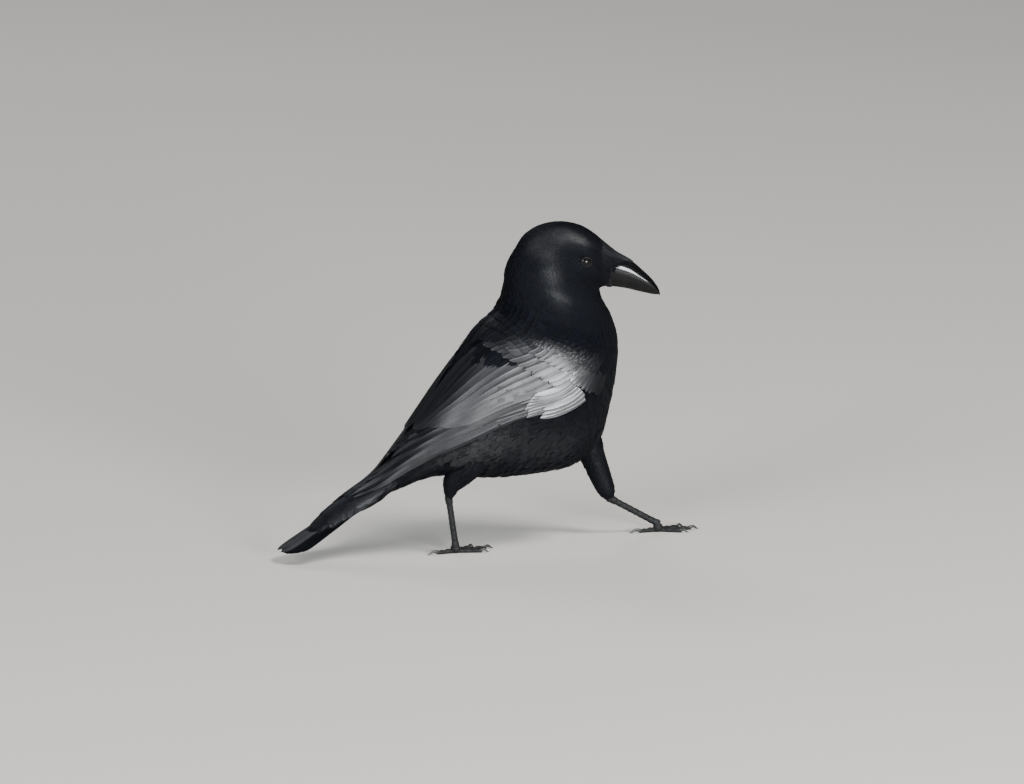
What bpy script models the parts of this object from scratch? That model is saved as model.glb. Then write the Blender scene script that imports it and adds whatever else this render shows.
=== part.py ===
"""A walking crow as a still, life-size model, divided into the parts a person would name.

The bird faces +X with its left side at +Y, and its soles stand on z = 0. Sizes are in
millimetres until a mesh is made. The trunk, neck and head are one skin of slanted rings,
parted by thin flat cuts, and the wings and the tail lie on that same skin.
"""

import math

import bmesh
import bpy
import numpy as np
from mathutils import Matrix, Vector

MM = 0.001
GAP = 0.3
SKIN_GAP = 0.4
AROUND = 32

# Rings of the skin from the tail tip to the bill: top x, top z, bottom x, bottom z, half width.
# Rings 0 to 2 only guide the folded wing tips, which lie over the tail.
SKIN_RINGS = np.array(
    [
        (-201, 20, -209, 0, 22),
        (-165, 42, -174, 20, 20),
        (-134, 61, -142, 38, 20),
        (-108, 77, -113, 52, 21),
        (-89, 95.5, -86, 62, 25),
        (-68, 120.5, -57, 65, 32),
        (-47, 149, -26, 64.5, 38),
        (-25, 180.5, 8, 64, 41),
        (-10, 201.5, 44, 66, 43),
        (-0.5, 212, 76, 71, 44),
        (4, 219, 98, 93, 44),
        (6, 225, 109, 128, 43),
        (8, 231, 115.5, 165, 39.5),
        (9.5, 237, 115, 190, 34.5),
        (11, 244, 108.5, 210, 29),
        (12.5, 252.5, 101, 223, 25),
        (16, 262.5, 97, 231, 22.5),
        (22, 273, 97.5, 234, 21.5),
        (30, 285, 98.5, 235.5, 21),
        (44, 293.5, 99.5, 236, 20.5),
        (62, 296.5, 100.5, 236.2, 19.8),
        (80, 293, 101.5, 236.3, 18),
        (94, 284.5, 102.3, 236.4, 15),
        (104, 275, 103, 236.5, 12),
        (111.5, 268.5, 103.6, 236.6, 9.5),
    ],
    float,
)
TORSO_ROWS = 26
NECK_ROWS = 7
HEAD_ROWS = 18
TAIL_CUT = 3.0
NECK_CUT = 12.5
HEAD_CUT = 16.5
BILL_CUT = 24.0

# The head is turned to the bird's right about an upright axis in the neck.
HEAD_TURN = math.radians(15)
TURN_FROM = 11.0
TURN_TO = 18.0
TURN_AXIS_X = 45.0

MOUTH_BASE = (107.2, 251.0)
GAPE = (91.0, 256.0)
UPPER_RIDGE = [
    (111.5, 268.0),
    (120, 263.6),
    (128, 258.6),
    (137, 250.6),
    (145, 242.6),
    (150.8, 234),
    (152.3, 228),
]
UPPER_EDGE = [
    MOUTH_BASE,
    (116.5, 248.2),
    (125, 245.2),
    (134, 241.6),
    (143, 236.8),
    (149, 231.6),
    (151.5, 228),
]
UPPER_HALF_WIDTH = [8.7, 7.7, 6.6, 5.3, 3.9, 2.1, 0.5]
LOWER_KEEL = [(103.6, 237), (113, 236), (122, 234.5), (131, 232.2), (139, 230.2), (145.5, 229)]
LOWER_HALF_WIDTH = [8.2, 7.0, 5.9, 4.6, 3.1, 1.2]
LOWER_TIP = (147.0, 232.4)
BILL_SECTIONS = 9
BILL_AROUND = 9
BILL_ROUNDNESS = 0.85
MOUTH_GAP = 0.4

EYE_RING = 20.1
EYE_ANGLE = math.radians(97)
EYE_RADIUS = 7.3
EYE_PROUD = 1.5
LID_RADIUS = 4.9
LID_THICKNESS = 0.95

TAIL_ROOT = np.array([-105.0, 0.0, 66.0])
TAIL_SLOPE = math.radians(31)
TAIL_LENGTH = 110.5
TAIL_HALF_WIDTH = 22.0
TAIL_PAIRS = 6
TAIL_STEP_BACK = 13.0
TAIL_FEATHER_START = 20.0
TAIL_FEATHER_HALF_WIDTH = 9.0
TAIL_TOP_LIFT = 2.9
TAIL_PITCH = 0.95
TAIL_DROOP = 0.006
# Coverts round the tail's root: distance back, half height, half width.
TAIL_COVERTS = [(14, 10, 17.5), (30, 7, 15.5), (44, 4.6, 14), (53, 2.2, 11)]

# A vane's sections from root to tip, its width there, and its thickness.
FEATHER_STEPS = (0, 0.28, 0.55, 0.8, 0.94, 1.0)
FEATHER_WIDTHS = (0.6, 0.92, 1.0, 0.86, 0.55, 0.2)
FEATHER_THICKNESS = 0.5
FEATHER_TIP_THINNING = 0.6

# How far a feather strays from its row: ring and angle of its tip, and share of its width.
FEATHER_STRAY = np.array([0.07, 0.8, 0.04])

# The wing's padded arm on the skin: ring, angle and thickness along its upper edge, and its lower edge.
ARM_TOP = [(11.9, 72, 1.2), (11.2, 46, 6.0), (10.2, 31, 7.6), (9.0, 21, 6.2), (7.9, 16, 2.6)]
ARM_BOTTOM = [(11.4, 126), (11.0, 123), (10.0, 114), (8.9, 103), (7.6, 94)]
ARM_EDGE = 0.9
ARM_CLEAR = 1.2
ARM_ROWS = 9
ARM_COLUMNS = 6

# Rows of wing feathers, each from the lowest on the bird's side to the one nearest its back.
# Roots, middles and tips are places on the skin: ring and angle.
WING_ROWS = [
    {
        "count": 8,
        "roots": [(9.5, 104), (9.2, 99), (8.9, 90)],
        "middles": [(6.2, 82), (6.1, 76), (6.0, 62)],
        "tips": [(2.7, 80), (1.4, 54), (1.4, 32), (2.5, 14)],
        "half_widths": (4.2, 4.8),
        "lifts": ((2.4, 2.3), (4.9, 5.4)),
        "tilt": 0.2,
    },
    {
        "count": 9,
        "roots": [(10.2, 96), (9.9, 66), (9.4, 34)],
        "middles": [(7.7, 78), (7.4, 48), (7.1, 17)],
        "tips": [(5.9, 64), (4.8, 30), (4.6, 15)],
        "half_widths": (6.0, 6.4),
        "lifts": ((6.8, 7.0), (4.8, 8.4)),
        "tilt": 0.24,
    },
    {
        "count": 7,
        "roots": [(11.0, 100), (10.9, 72), (10.4, 44)],
        "middles": [(10.2, 92), (10.0, 62), (9.4, 34)],
        "tips": [(9.2, 86), (9.0, 56), (8.4, 27)],
        "half_widths": (5.6, 5.8),
        "lifts": ((4.8, 9.0), (4.6, 7.6)),
        "tilt": 0.22,
    },
    {
        "count": 4,
        "roots": [(10.8, 112), (10.7, 103)],
        "middles": [(9.5, 104), (9.6, 95)],
        "tips": [(8.0, 95), (8.4, 86)],
        "half_widths": (3.8, 4.2),
        "lifts": ((3.8, 5.8), (4.8, 6.2)),
        "tilt": 0.22,
    },
    {
        "count": 2,
        "roots": [(11.2, 119), (11.1, 113)],
        "middles": [(10.4, 113), (10.4, 107)],
        "tips": [(9.4, 106), (9.5, 100)],
        "half_widths": (3.6, 3.8),
        "lifts": ((3.2, 7.8), (3.9, 8.6)),
        "tilt": 0.2,
    },
]

# Legs: points of each shank's feathering and of the bare tarsus, x, y, z, half depth, half width.
SHANK_RIGHT = [
    (-20, -24, 100, 17, 12),
    (-31, -19, 80, 15, 11),
    (-41, -14, 66, 11.5, 9),
    (-45, -12.5, 56, 5.5, 5),
    (-45.6, -12, 51, 3.3, 3.1),
]
SHANK_LEFT = [
    (84, 24, 112, 18, 13),
    (94, 23, 90, 15, 12),
    (101, 21, 73, 11.5, 9.5),
    (107, 20, 57, 10, 8.5),
    (113.5, 18.8, 41, 8, 7),
    (116.5, 18.3, 34, 4, 3.8),
]
ANKLE_RIGHT = (-45.8, -12.0, 50.4)
ANKLE_LEFT = (117.4, 18.2, 33.2)
FOOT_RIGHT = (-39.0, -10.0)
FOOT_LEFT = (162.0, 17.0)
FOOT_RIGHT_TURN = math.radians(10)
FOOT_LEFT_TURN = math.radians(-3)
TARSUS_RADIUS = 2.5
INSTEP_HEIGHT = 7.5
INSTEP_RADIUS = 3.6
SCUTES = 8
# Toes: turn from the foot's direction, length without the claw, radius at the root, claw length.
TOES = [(0, 30, 2.5, 9), (27, 21, 2.3, 8), (-25, 23, 2.3, 8), (176, 17, 2.5, 11)]


def smooth_rows(table, places):
    """Rows of a table at any place between its own, by a smooth curve that passes through them."""
    table = np.asarray(table, float)
    last = len(table) - 1
    places = np.clip(np.asarray(places, float), 0, last)
    start = np.clip(np.floor(places).astype(int), 0, last - 1)
    t = (places - start)[..., None]
    a, b, c, d = (table[np.clip(start + step, 0, last)] for step in (-1, 0, 1, 2))
    bend = (2 * a - 5 * b + 4 * c - d) * t**2 + (3 * b - a - 3 * c + d) * t**3
    return 0.5 * (2 * b + (c - a) * t + bend)


def smooth_path(points, count):
    """Evenly spread rows on a smooth curve through the listed ones."""
    return smooth_rows(points, np.linspace(0, len(points) - 1, count))


def turned(points, ring):
    """Turns points with the head: not at all below the neck, and fully from the jaw on."""
    part = np.clip((np.asarray(ring, float) - TURN_FROM) / (TURN_TO - TURN_FROM), 0, 1)
    angle = HEAD_TURN * part * part * (3 - 2 * part)
    x = points[..., 0] - TURN_AXIS_X
    y = points[..., 1]
    turned_x = TURN_AXIS_X + x * np.cos(angle) + y * np.sin(angle)
    return np.stack([turned_x, y * np.cos(angle) - x * np.sin(angle), points[..., 2]], -1)


def head_points(points):
    """Points given in the straight head, as they lie in the turned one."""
    return turned(np.asarray(points, float), TURN_TO)


def skin_point(ring, angle):
    """A point of the skin: angle 0 is the back, 90 degrees the left side, 180 the belly."""
    ring, angle = np.broadcast_arrays(np.asarray(ring, float), np.asarray(angle, float))
    top_x, top_z, bottom_x, bottom_z, half_width = np.moveaxis(smooth_rows(SKIN_RINGS, ring), -1, 0)
    drop = (1 - np.cos(angle)) / 2
    x = top_x + (bottom_x - top_x) * drop
    z = top_z + (bottom_z - top_z) * drop
    return turned(np.stack([x, half_width * np.sin(angle), z], -1), ring)


def skin_frame(ring, angle):
    """The skin's point, its two slopes along ring and angle, and its outward normal."""
    step = 1e-3
    point = skin_point(ring, angle)
    along = (skin_point(ring + step, angle) - skin_point(ring - step, angle)) / (2 * step)
    around = (skin_point(ring, angle + step) - skin_point(ring, angle - step)) / (2 * step)
    return point, along, around, unit(np.cross(along, around))


def lifted_skin(ring, angle, lift):
    point, _, _, normal = skin_frame(ring, angle)
    return point + normal * np.asarray(lift, float)[..., None]


def unit(vectors):
    return vectors / np.linalg.norm(vectors, axis=-1, keepdims=True)


def finish(name, colour, roughness, metallic=0.0):
    material = bpy.data.materials.new(name)
    material.use_nodes = True
    shader = material.node_tree.nodes["Principled BSDF"]
    shader.inputs["Base Color"].default_value = (*colour, 1)
    shader.inputs["Roughness"].default_value = roughness
    shader.inputs["Metallic"].default_value = metallic
    material.diffuse_color = (*colour, 1)
    return material


def mesh_object(name, points, faces, material):
    """An object of points in millimetres, with its faces turned outward."""
    mesh = bpy.data.meshes.new(name)
    mesh.from_pydata((np.asarray(points, float) * MM).tolist(), [], [list(face) for face in faces])
    shape = bmesh.new()
    shape.from_mesh(mesh)
    bmesh.ops.recalc_face_normals(shape, faces=shape.faces)
    if shape.calc_volume(signed=True) < 0:
        bmesh.ops.reverse_faces(shape, faces=shape.faces)
    shape.to_mesh(mesh)
    shape.free()
    mesh.shade_smooth()
    mesh.set_sharp_from_angle(angle=math.radians(40))
    mesh.materials.append(material)
    body = bpy.data.objects.new(name, mesh)
    bpy.context.scene.collection.objects.link(body)
    return body


def ring_loft(name, rings, material):
    """A closed skin over rings of equal point counts, with a fan of triangles at each end."""
    rings = np.asarray(rings, float)
    count, around = rings.shape[:2]
    points = np.concatenate([rings.reshape(-1, 3), [rings[0].mean(0)], [rings[-1].mean(0)]])
    faces = []
    for row in range(count - 1):
        for column in range(around):
            after = (column + 1) % around
            a, b = row * around + column, row * around + after
            faces += [(a, b, b + around), (a, b + around, a + around)]
    for column in range(around):
        after = (column + 1) % around
        faces.append((count * around, after, column))
        faces.append((count * around + 1, (count - 1) * around + column, (count - 1) * around + after))
    return mesh_object(name, points, faces, material)


def slab(name, inner, outer, material):
    """A closed sheet between two grids of points, with both faces split into like triangles."""
    rows, columns = inner.shape[:2]
    half = rows * columns
    points = np.concatenate([inner.reshape(-1, 3), outer.reshape(-1, 3)])
    faces = []
    for row in range(rows - 1):
        for column in range(columns - 1):
            a = row * columns + column
            b, c, d = a + 1, a + columns + 1, a + columns
            faces += [(a, b, c), (a, c, d), (half + a, half + c, half + b), (half + a, half + d, half + c)]
    border = [column for column in range(columns)]
    border += [row * columns + columns - 1 for row in range(1, rows)]
    border += [(rows - 1) * columns + column for column in range(columns - 2, -1, -1)]
    border += [row * columns for row in range(rows - 2, 0, -1)]
    for a, b in zip(border, border[1:] + border[:1]):
        faces += [(a, half + b, b), (a, half + a, half + b)]
    return mesh_object(name, points, faces, material)


def combine(node, pieces, operation, solver="EXACT"):
    """Joins the pieces to the node, or cuts them from it, and keeps the largest closed surface."""
    group = bpy.data.collections.new(node.name + "_pieces")
    bpy.context.scene.collection.children.link(group)
    for piece in pieces:
        bpy.context.scene.collection.objects.unlink(piece)
        group.objects.link(piece)
    modifier = node.modifiers.new("join", "BOOLEAN")
    modifier.operation = operation
    modifier.operand_type = "COLLECTION"
    modifier.collection = group
    modifier.solver = solver
    graph = bpy.context.evaluated_depsgraph_get()
    joined = bpy.data.meshes.new_from_object(node.evaluated_get(graph), depsgraph=graph)
    node.modifiers.remove(modifier)
    old = node.data
    node.data = joined
    bpy.data.meshes.remove(old)
    for piece in list(group.objects):
        bpy.data.objects.remove(piece)
    bpy.data.collections.remove(group)
    keep_largest(node)
    return node


def keep_largest(node):
    """Drops every closed surface but the one with the most room inside."""
    shape = bmesh.new()
    shape.from_mesh(node.data)
    bmesh.ops.triangulate(shape, faces=shape.faces)
    unseen = set(shape.verts)
    islands = []
    while unseen:
        reached = [unseen.pop()]
        for vertex in reached:
            for edge in vertex.link_edges:
                other = edge.other_vert(vertex)
                if other in unseen:
                    unseen.remove(other)
                    reached.append(other)
        faces = {face for vertex in reached for face in vertex.link_faces}
        room = sum(face.verts[0].co.dot(face.verts[1].co.cross(face.verts[2].co)) for face in faces)
        islands.append((room, reached))
    islands.sort(key=lambda island: island[0])
    for _, reached in islands[:-1]:
        bmesh.ops.delete(shape, geom=reached, context="VERTS")
    shape.to_mesh(node.data)
    shape.free()


def cut_ring(place, shift, angles):
    """The flat ring of a cut, moved by half the gap along the cut's own normal."""
    points = skin_point(np.full_like(angles, place), angles)
    middle = points.mean(0)
    quarter = len(angles) // 4
    normal = unit(np.cross(points[0] - middle, points[quarter] - middle))
    ahead = skin_point(np.full_like(angles, min(place + 0.1, BILL_CUT)), angles).mean(0)
    behind = skin_point(np.full_like(angles, place - 0.1), angles).mean(0)
    return points + normal * np.sign(normal @ (ahead - behind)) * shift


def skin_part(name, start, end, rows, material, lift=0.0):
    """A length of the skin as a closed body, with half a gap left at each cut."""
    angles = np.linspace(0, 2 * math.pi, AROUND, endpoint=False)
    places = np.linspace(start, end, rows)
    margin = 0.25 * (places[1] - places[0])
    places[1] = max(places[1], start + margin)
    rings = [lifted_skin(place, angles, np.full_like(angles, lift)) for place in places]
    if lift == 0:
        rings[0] = cut_ring(start, GAP / 2, angles)
        rings[-1] = cut_ring(end, -GAP / 2, angles)
    return ring_loft(name, rings, material)


def tube_rings(spine, half_depth, half_width, around, flat_ends=None):
    """Oval rings square to a smooth spine: depth in the upright plane of the spine, width across it."""
    spine = np.asarray(spine, float)
    tangent = unit(np.gradient(spine, axis=0))
    if flat_ends is not None:
        tangent[0] = flat_ends[0]
        tangent[-1] = flat_ends[1]
    across = np.cross(tangent, [0.0, 0.0, 1.0])
    across[np.linalg.norm(across, axis=1) < 0.05] = [0.0, 1.0, 0.0]
    across = unit(across)
    depth = np.cross(across, tangent)
    angles = np.linspace(0, 2 * math.pi, around, endpoint=False)
    wide = np.asarray(half_width)[:, None, None] * across[:, None] * np.sin(angles)[None, :, None]
    deep = np.asarray(half_depth)[:, None, None] * depth[:, None] * np.cos(angles)[None, :, None]
    return spine[:, None] + wide + deep


def make_trunk(plumage):
    skin_part("torso", TAIL_CUT, NECK_CUT, TORSO_ROWS, plumage)
    skin_part("neck", NECK_CUT, HEAD_CUT, NECK_ROWS, plumage)


def mandible(name, ridge, edge, half_widths, material):
    """A half of the bill: rounded from one cutting edge over the ridge to the other, hollow between."""
    sections = smooth_path(np.column_stack([ridge, edge, half_widths]), BILL_SECTIONS)
    arc = np.radians(np.linspace(0, 180, BILL_AROUND))
    sides = np.concatenate([np.cos(arc), [-0.5, 0.0, 0.5]])
    rises = np.concatenate([np.sin(arc) ** BILL_ROUNDNESS, [0.06, 0.1, 0.06]])
    rings = []
    for ridge_x, ridge_z, edge_x, edge_z, half_width in sections:
        x = edge_x + (ridge_x - edge_x) * rises
        z = edge_z + (ridge_z - edge_z) * rises
        rings.append(np.column_stack([x, half_width * sides, z]))
    return ring_loft(name, head_points(np.array(rings)), material)


def make_bill(horn):
    base_top, base_bottom = np.array(UPPER_RIDGE[0]), np.array(LOWER_KEEL[0])
    slant = unit(base_top - base_bottom)
    forward = np.array([slant[1], -slant[0]])
    upper_edge = np.array(UPPER_EDGE, float)
    lower_edge = np.array(UPPER_EDGE[: len(LOWER_KEEL)], float)
    lower_edge[-1] = LOWER_TIP
    fade = np.linspace(1, 0, len(UPPER_EDGE))[:, None]
    shift = forward * GAP * fade
    mandible("bill_upper", np.array(UPPER_RIDGE) + shift, upper_edge + shift, UPPER_HALF_WIDTH, horn)
    shift = forward * GAP * np.linspace(1, 0, len(LOWER_KEEL))[:, None]
    lower_edge = lower_edge - slant * MOUTH_GAP
    mandible("bill_lower", np.array(LOWER_KEEL) + shift, lower_edge + shift, LOWER_HALF_WIDTH, horn)


def eye_place(side):
    """Centre of the eyeball and the direction in which the eye looks."""
    point, _, _, normal = skin_frame(np.array(EYE_RING), np.array(side * EYE_ANGLE))
    return point - normal * (EYE_RADIUS - EYE_PROUD), normal


def ball(name, centre, radius, material, rings=10, around=16):
    mesh = bpy.data.meshes.new(name)
    shape = bmesh.new()
    bmesh.ops.create_uvsphere(shape, u_segments=around, v_segments=rings, radius=radius * MM)
    bmesh.ops.triangulate(shape, faces=shape.faces)
    shape.to_mesh(mesh)
    shape.free()
    mesh.transform(placed(centre, (0, 0, 1)))
    mesh.shade_smooth()
    mesh.materials.append(material)
    body = bpy.data.objects.new(name, mesh)
    bpy.context.scene.collection.objects.link(body)
    return body


def placed(centre, direction):
    """A matrix that stands +Z along the direction and moves the origin to the centre."""
    turn = Vector(direction).to_track_quat("Z", "Y").to_matrix().to_4x4()
    return Matrix.Translation(Vector(centre) * MM) @ turn


def lid_ring(side, material):
    """The rim of the two lids: a low rounded ring on the skin round the eye, thicker above."""
    centre, look = eye_place(side)
    rim = centre + look * (EYE_RADIUS - EYE_PROUD + 0.1)
    upward = unit(np.array([0.0, 0.0, 1.0]) - look * look[2])
    ahead = np.cross(upward, look)
    turns = np.linspace(0, 2 * math.pi, 16, endpoint=False)
    section = np.linspace(0, 2 * math.pi, 6, endpoint=False)
    points = []
    for turn in turns:
        outward = upward * math.sin(turn) + ahead * math.cos(turn)
        thick = LID_THICKNESS * (1 + 0.25 * max(0.0, math.sin(turn)))
        middle = rim + outward * LID_RADIUS
        points.append([middle + thick * (outward * math.cos(s) + look * math.sin(s)) for s in section])
    points = np.array(points)
    count, around = points.shape[:2]
    faces = []
    for row in range(count):
        for column in range(around):
            after_row, after = (row + 1) % count, (column + 1) % around
            a, b = row * around + column, row * around + after
            c, d = after_row * around + after, after_row * around + column
            faces += [(a, b, c), (a, c, d)]
    return mesh_object("lid", points.reshape(-1, 3), faces, material)


def mouth_slot(material):
    """The line of the mouth from the bill back to the gape, as a thin slot through the jaw."""
    line = [GAPE, (99.0, 253.6), MOUTH_BASE, (112.0, 249.5)]
    side = 30.0
    rings = []
    for (x, z), half in zip(line, (0.12, 0.2, 0.25, 0.25)):
        rings.append([(x, -side, z + half), (x, side, z + half), (x, side, z - half), (x, -side, z - half)])
    return ring_loft("slot", head_points(rings), material)


def make_head(plumage, globe):
    head = skin_part("head", HEAD_CUT, BILL_CUT, HEAD_ROWS, plumage)
    combine(head, [lid_ring(side, plumage) for side in (-1, 1)], "UNION")
    sockets = []
    for side in (-1, 1):
        centre, _ = eye_place(side)
        sockets.append(ball("socket", centre, EYE_RADIUS + GAP, plumage))
    combine(head, sockets + [mouth_slot(plumage)], "DIFFERENCE")
    for side, label in ((1, "left"), (-1, "right")):
        centre, _ = eye_place(side)
        ball("eye_" + label, centre, EYE_RADIUS, globe)


def blade(name, low, high, normal, material):
    """A vane between two edge lines: a thin four-sided sheet with both faces split alike."""
    count = len(low)
    half = normal * FEATHER_THICKNESS / 2
    half[-1] *= FEATHER_TIP_THINNING
    points = np.concatenate([low - half, low + half, high + half, high - half])
    faces = []
    for row in range(count - 1):
        a, b, c, d = (side * count + row for side in range(4))
        faces += [(b, c, c + 1), (b, c + 1, b + 1), (a, d + 1, d), (a, a + 1, d + 1)]
        faces += [(a, b, b + 1), (a, b + 1, a + 1), (c, d, d + 1), (c, d + 1, c + 1)]
    for row in (0, count - 1):
        a, b, c, d = (side * count + row for side in range(4))
        faces += [(a, b, c), (a, c, d)]
    return mesh_object(name, points, faces, material)


def skin_feather(line, side, half_width, lift, tilt, material):
    """A vane that lies on the skin: line holds ring and angle at root, middle and tip.

    Its lower edge stands higher off the skin than its upper one by the tilt, as shingles do.
    """
    t = np.array(FEATHER_STEPS)
    weights = np.stack([(1 - t) * (1 - 2 * t), 4 * t * (1 - t), t * (2 * t - 1)], 1)
    chart = weights @ np.asarray(line, float)
    ring, angle = chart[:, 0], side * np.radians(chart[:, 1])
    point, along, around, normal = skin_frame(ring, angle)
    tangent = unit(np.gradient(point, t, axis=0))
    across = unit(np.cross(normal, tangent))
    across *= np.sign((across * around).sum(1, keepdims=True) * side)
    width = half_width * np.array(FEATHER_WIDTHS)
    lift = lift[0] + (lift[1] - lift[0]) * t
    edges = []
    for direction in (-1, 1):
        step = across * (direction * width)[:, None]
        aa, bb, ab = (along * along).sum(1), (around * around).sum(1), (along * around).sum(1)
        sa, sb = (step * along).sum(1), (step * around).sum(1)
        room = aa * bb - ab * ab
        ring_step = (sa * bb - sb * ab) / room
        angle_step = (sb * aa - sa * ab) / room
        edges.append(lifted_skin(ring + ring_step, angle + angle_step, lift + tilt * direction * width))
    return blade("vane", edges[0], edges[1], normal, material)


def feather_row(row, side, chance, material):
    """A row of like vanes, with their lengths, widths and angles varied a little."""
    count = row["count"]
    roots, middles, tips = (smooth_path(row[key], count) for key in ("roots", "middles", "tips"))
    widths = np.linspace(*row["half_widths"], count)
    lifts = np.linspace(*row["lifts"], count)
    vanes = []
    for root, middle, tip, width, lift in zip(roots, middles, tips, widths, lifts):
        stray = chance.uniform(-1, 1, 3) * FEATHER_STRAY
        line = np.array([root, middle + [0, stray[1] / 2], tip + stray[:2]])
        vanes.append(skin_feather(line, side, width * (1 + stray[2]), lift, row["tilt"], material))
    return vanes


def make_wing(label, side, plumage):
    """The folded wing: a padded forearm and hand on the skin, and vanes in tiers out of it."""
    top = smooth_path(ARM_TOP, ARM_ROWS)
    bottom = smooth_path(ARM_BOTTOM, ARM_ROWS)
    across = np.linspace(0, 1, ARM_COLUMNS)[None, :, None]
    chart = top[:, None, :2] * (1 - across) + bottom[:, None] * across
    ring, angle = chart[..., 0], side * np.radians(chart[..., 1])
    bulge = 1 - np.abs(2 * across[..., 0] - 1) ** 3
    thickness = ARM_EDGE + bulge * (top[:, 2:] - ARM_EDGE)
    inner = lifted_skin(ring, angle, np.full_like(ring, ARM_CLEAR))
    outer = lifted_skin(ring, angle, ARM_CLEAR + thickness)
    arm = slab("wing_" + label, inner, outer, plumage)
    chance = np.random.default_rng(41 + side)
    vanes = [vane for row in WING_ROWS for vane in feather_row(row, side, chance, plumage)]
    return combine(arm, vanes, "UNION")


def tail_point(distance, across, lift):
    """A point of the tail's own frame: distance back from its root, left of the middle, and lift."""
    back = np.array([-math.cos(TAIL_SLOPE), 0.0, -math.sin(TAIL_SLOPE)])
    up = np.array([-math.sin(TAIL_SLOPE), 0.0, math.cos(TAIL_SLOPE)])
    left = np.array([0.0, 1.0, 0.0])
    distance, across, lift = (np.asarray(value, float)[..., None] for value in (distance, across, lift))
    return TAIL_ROOT + back * distance + left * across + up * lift


def tail_feather(order, side, plumage):
    """One tail feather: order 0 is the middle pair, and each further one lies under the last."""
    t = np.array(FEATHER_STEPS)
    share = order / (TAIL_PAIRS - 1)
    length = TAIL_LENGTH - TAIL_STEP_BACK * share**2
    distance = TAIL_FEATHER_START + (length - TAIL_FEATHER_START) * t
    outer_root, outer_tip = 5.5 + 5.5 * share, 11.0 + (TAIL_HALF_WIDTH - 11.0) * share**0.9
    outer = outer_root + (outer_tip - outer_root) * t**0.8
    inner = np.maximum(outer - 2 * TAIL_FEATHER_HALF_WIDTH * (0.75 + 0.25 * t), 0.4 if order else -5.0)
    narrow = np.array(FEATHER_WIDTHS) / max(FEATHER_WIDTHS)
    shaft = inner + (outer - inner) * 0.55
    taper = np.where(t > 0.6, narrow, 1.0)
    inner, outer = shaft + (inner - shaft) * taper, shaft + (outer - shaft) * taper
    lift = TAIL_TOP_LIFT - TAIL_PITCH * (order + 1)
    if order == 0:
        lift += 0.5 * TAIL_PITCH * (1 + side)
    edges = [tail_point(distance, side * edge, lift - TAIL_DROOP * edge**2) for edge in (inner, outer)]
    up = np.broadcast_to(tail_point(0, 0, 1) - tail_point(0, 0, 0), edges[0].shape)
    return blade("vane", edges[0], edges[1], up, plumage)


def make_tail(plumage):
    """Coverts that taper out of the trunk, with the tail feathers fanned out of them in pairs."""
    angles = np.linspace(0, 2 * math.pi, AROUND, endpoint=False)
    rings = [cut_ring(TAIL_CUT, -GAP / 2, angles)]
    for distance, half_height, half_width in TAIL_COVERTS:
        across = half_width * np.sin(angles)
        height = half_height * np.cos(angles) - 0.5 - TAIL_DROOP * across**2
        rings.append(tail_point(np.full_like(angles, distance), across, height))
    coverts = ring_loft("tail", np.array(rings), plumage)
    vanes = [tail_feather(order, side, plumage) for order in range(TAIL_PAIRS) for side in (-1, 1)]
    return combine(coverts, vanes, "UNION")


def make_shank(label, points, ankle, foot, plumage):
    """The feathered shank, cut clear of the belly above it and of the bare leg below."""
    path = smooth_path(points, 3 * (len(points) - 1) + 1)
    rings = tube_rings(path[:, :3], path[:, 3], path[:, 4], 14)
    shank = ring_loft("shank_" + label, rings, plumage)
    belly = skin_part("belly", TAIL_CUT, NECK_CUT, TORSO_ROWS, plumage, SKIN_GAP)
    return combine(shank, [belly, leg_room(ankle, foot, plumage)], "DIFFERENCE")


def make_tarsus(label, ankle, foot, leather):
    """The bare lower leg, with the edges of its front plates as low steps."""
    ankle, foot = np.array(ankle), np.array([foot[0], foot[1], INSTEP_HEIGHT])
    axis = unit(foot - ankle)
    rings, length = [], np.linalg.norm(foot - ankle)
    places, radii = [0.0], [1.28]
    for scute in range(SCUTES):
        start, end = (scute + 0.15) / SCUTES, (scute + 0.95) / SCUTES
        places += [start, end]
        radii += [1.0 + 0.18 * max(0.0, 1 - 4 * start), 1.1 + 0.12 * max(0.0, 1 - 4 * end)]
    places.append(1.0)
    radii.append(1.15)
    spine = ankle + np.array(places)[:, None] * length * axis
    depth = np.array(radii) * TARSUS_RADIUS * 1.08
    width = np.array(radii) * TARSUS_RADIUS * 0.92
    rings = tube_rings(spine, depth, width, 10)
    return ring_loft("tarsus_" + label, rings, leather)


def leg_room(ankle, foot, material):
    """The bare leg's own room, a gap wider and longer than it, which its neighbours are cut clear of."""
    instep = np.array([foot[0], foot[1], INSTEP_HEIGHT])
    lower_leg = unit(instep - np.array(ankle))
    spine = np.array([ankle - lower_leg * GAP, instep + lower_leg * GAP])
    clear = np.full(2, 1.3 * TARSUS_RADIUS + GAP)
    return ring_loft("leg_room", tube_rings(spine, clear, clear, 16), material)


def toe_path(foot, heading, length, radius):
    """Centre line and radii of a toe with three low pads, lying along the floor."""
    t = np.linspace(0, 1, 7)
    radii = radius * (1 - 0.3 * t) * (1 + 0.1 * np.cos(2 * math.pi * 3 * (t - 0.12)))
    along = length * t
    x, y = foot[0] + math.cos(heading) * along, foot[1] + math.sin(heading) * along
    return np.column_stack([x, y, 0.78 * radii]), radii


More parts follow.
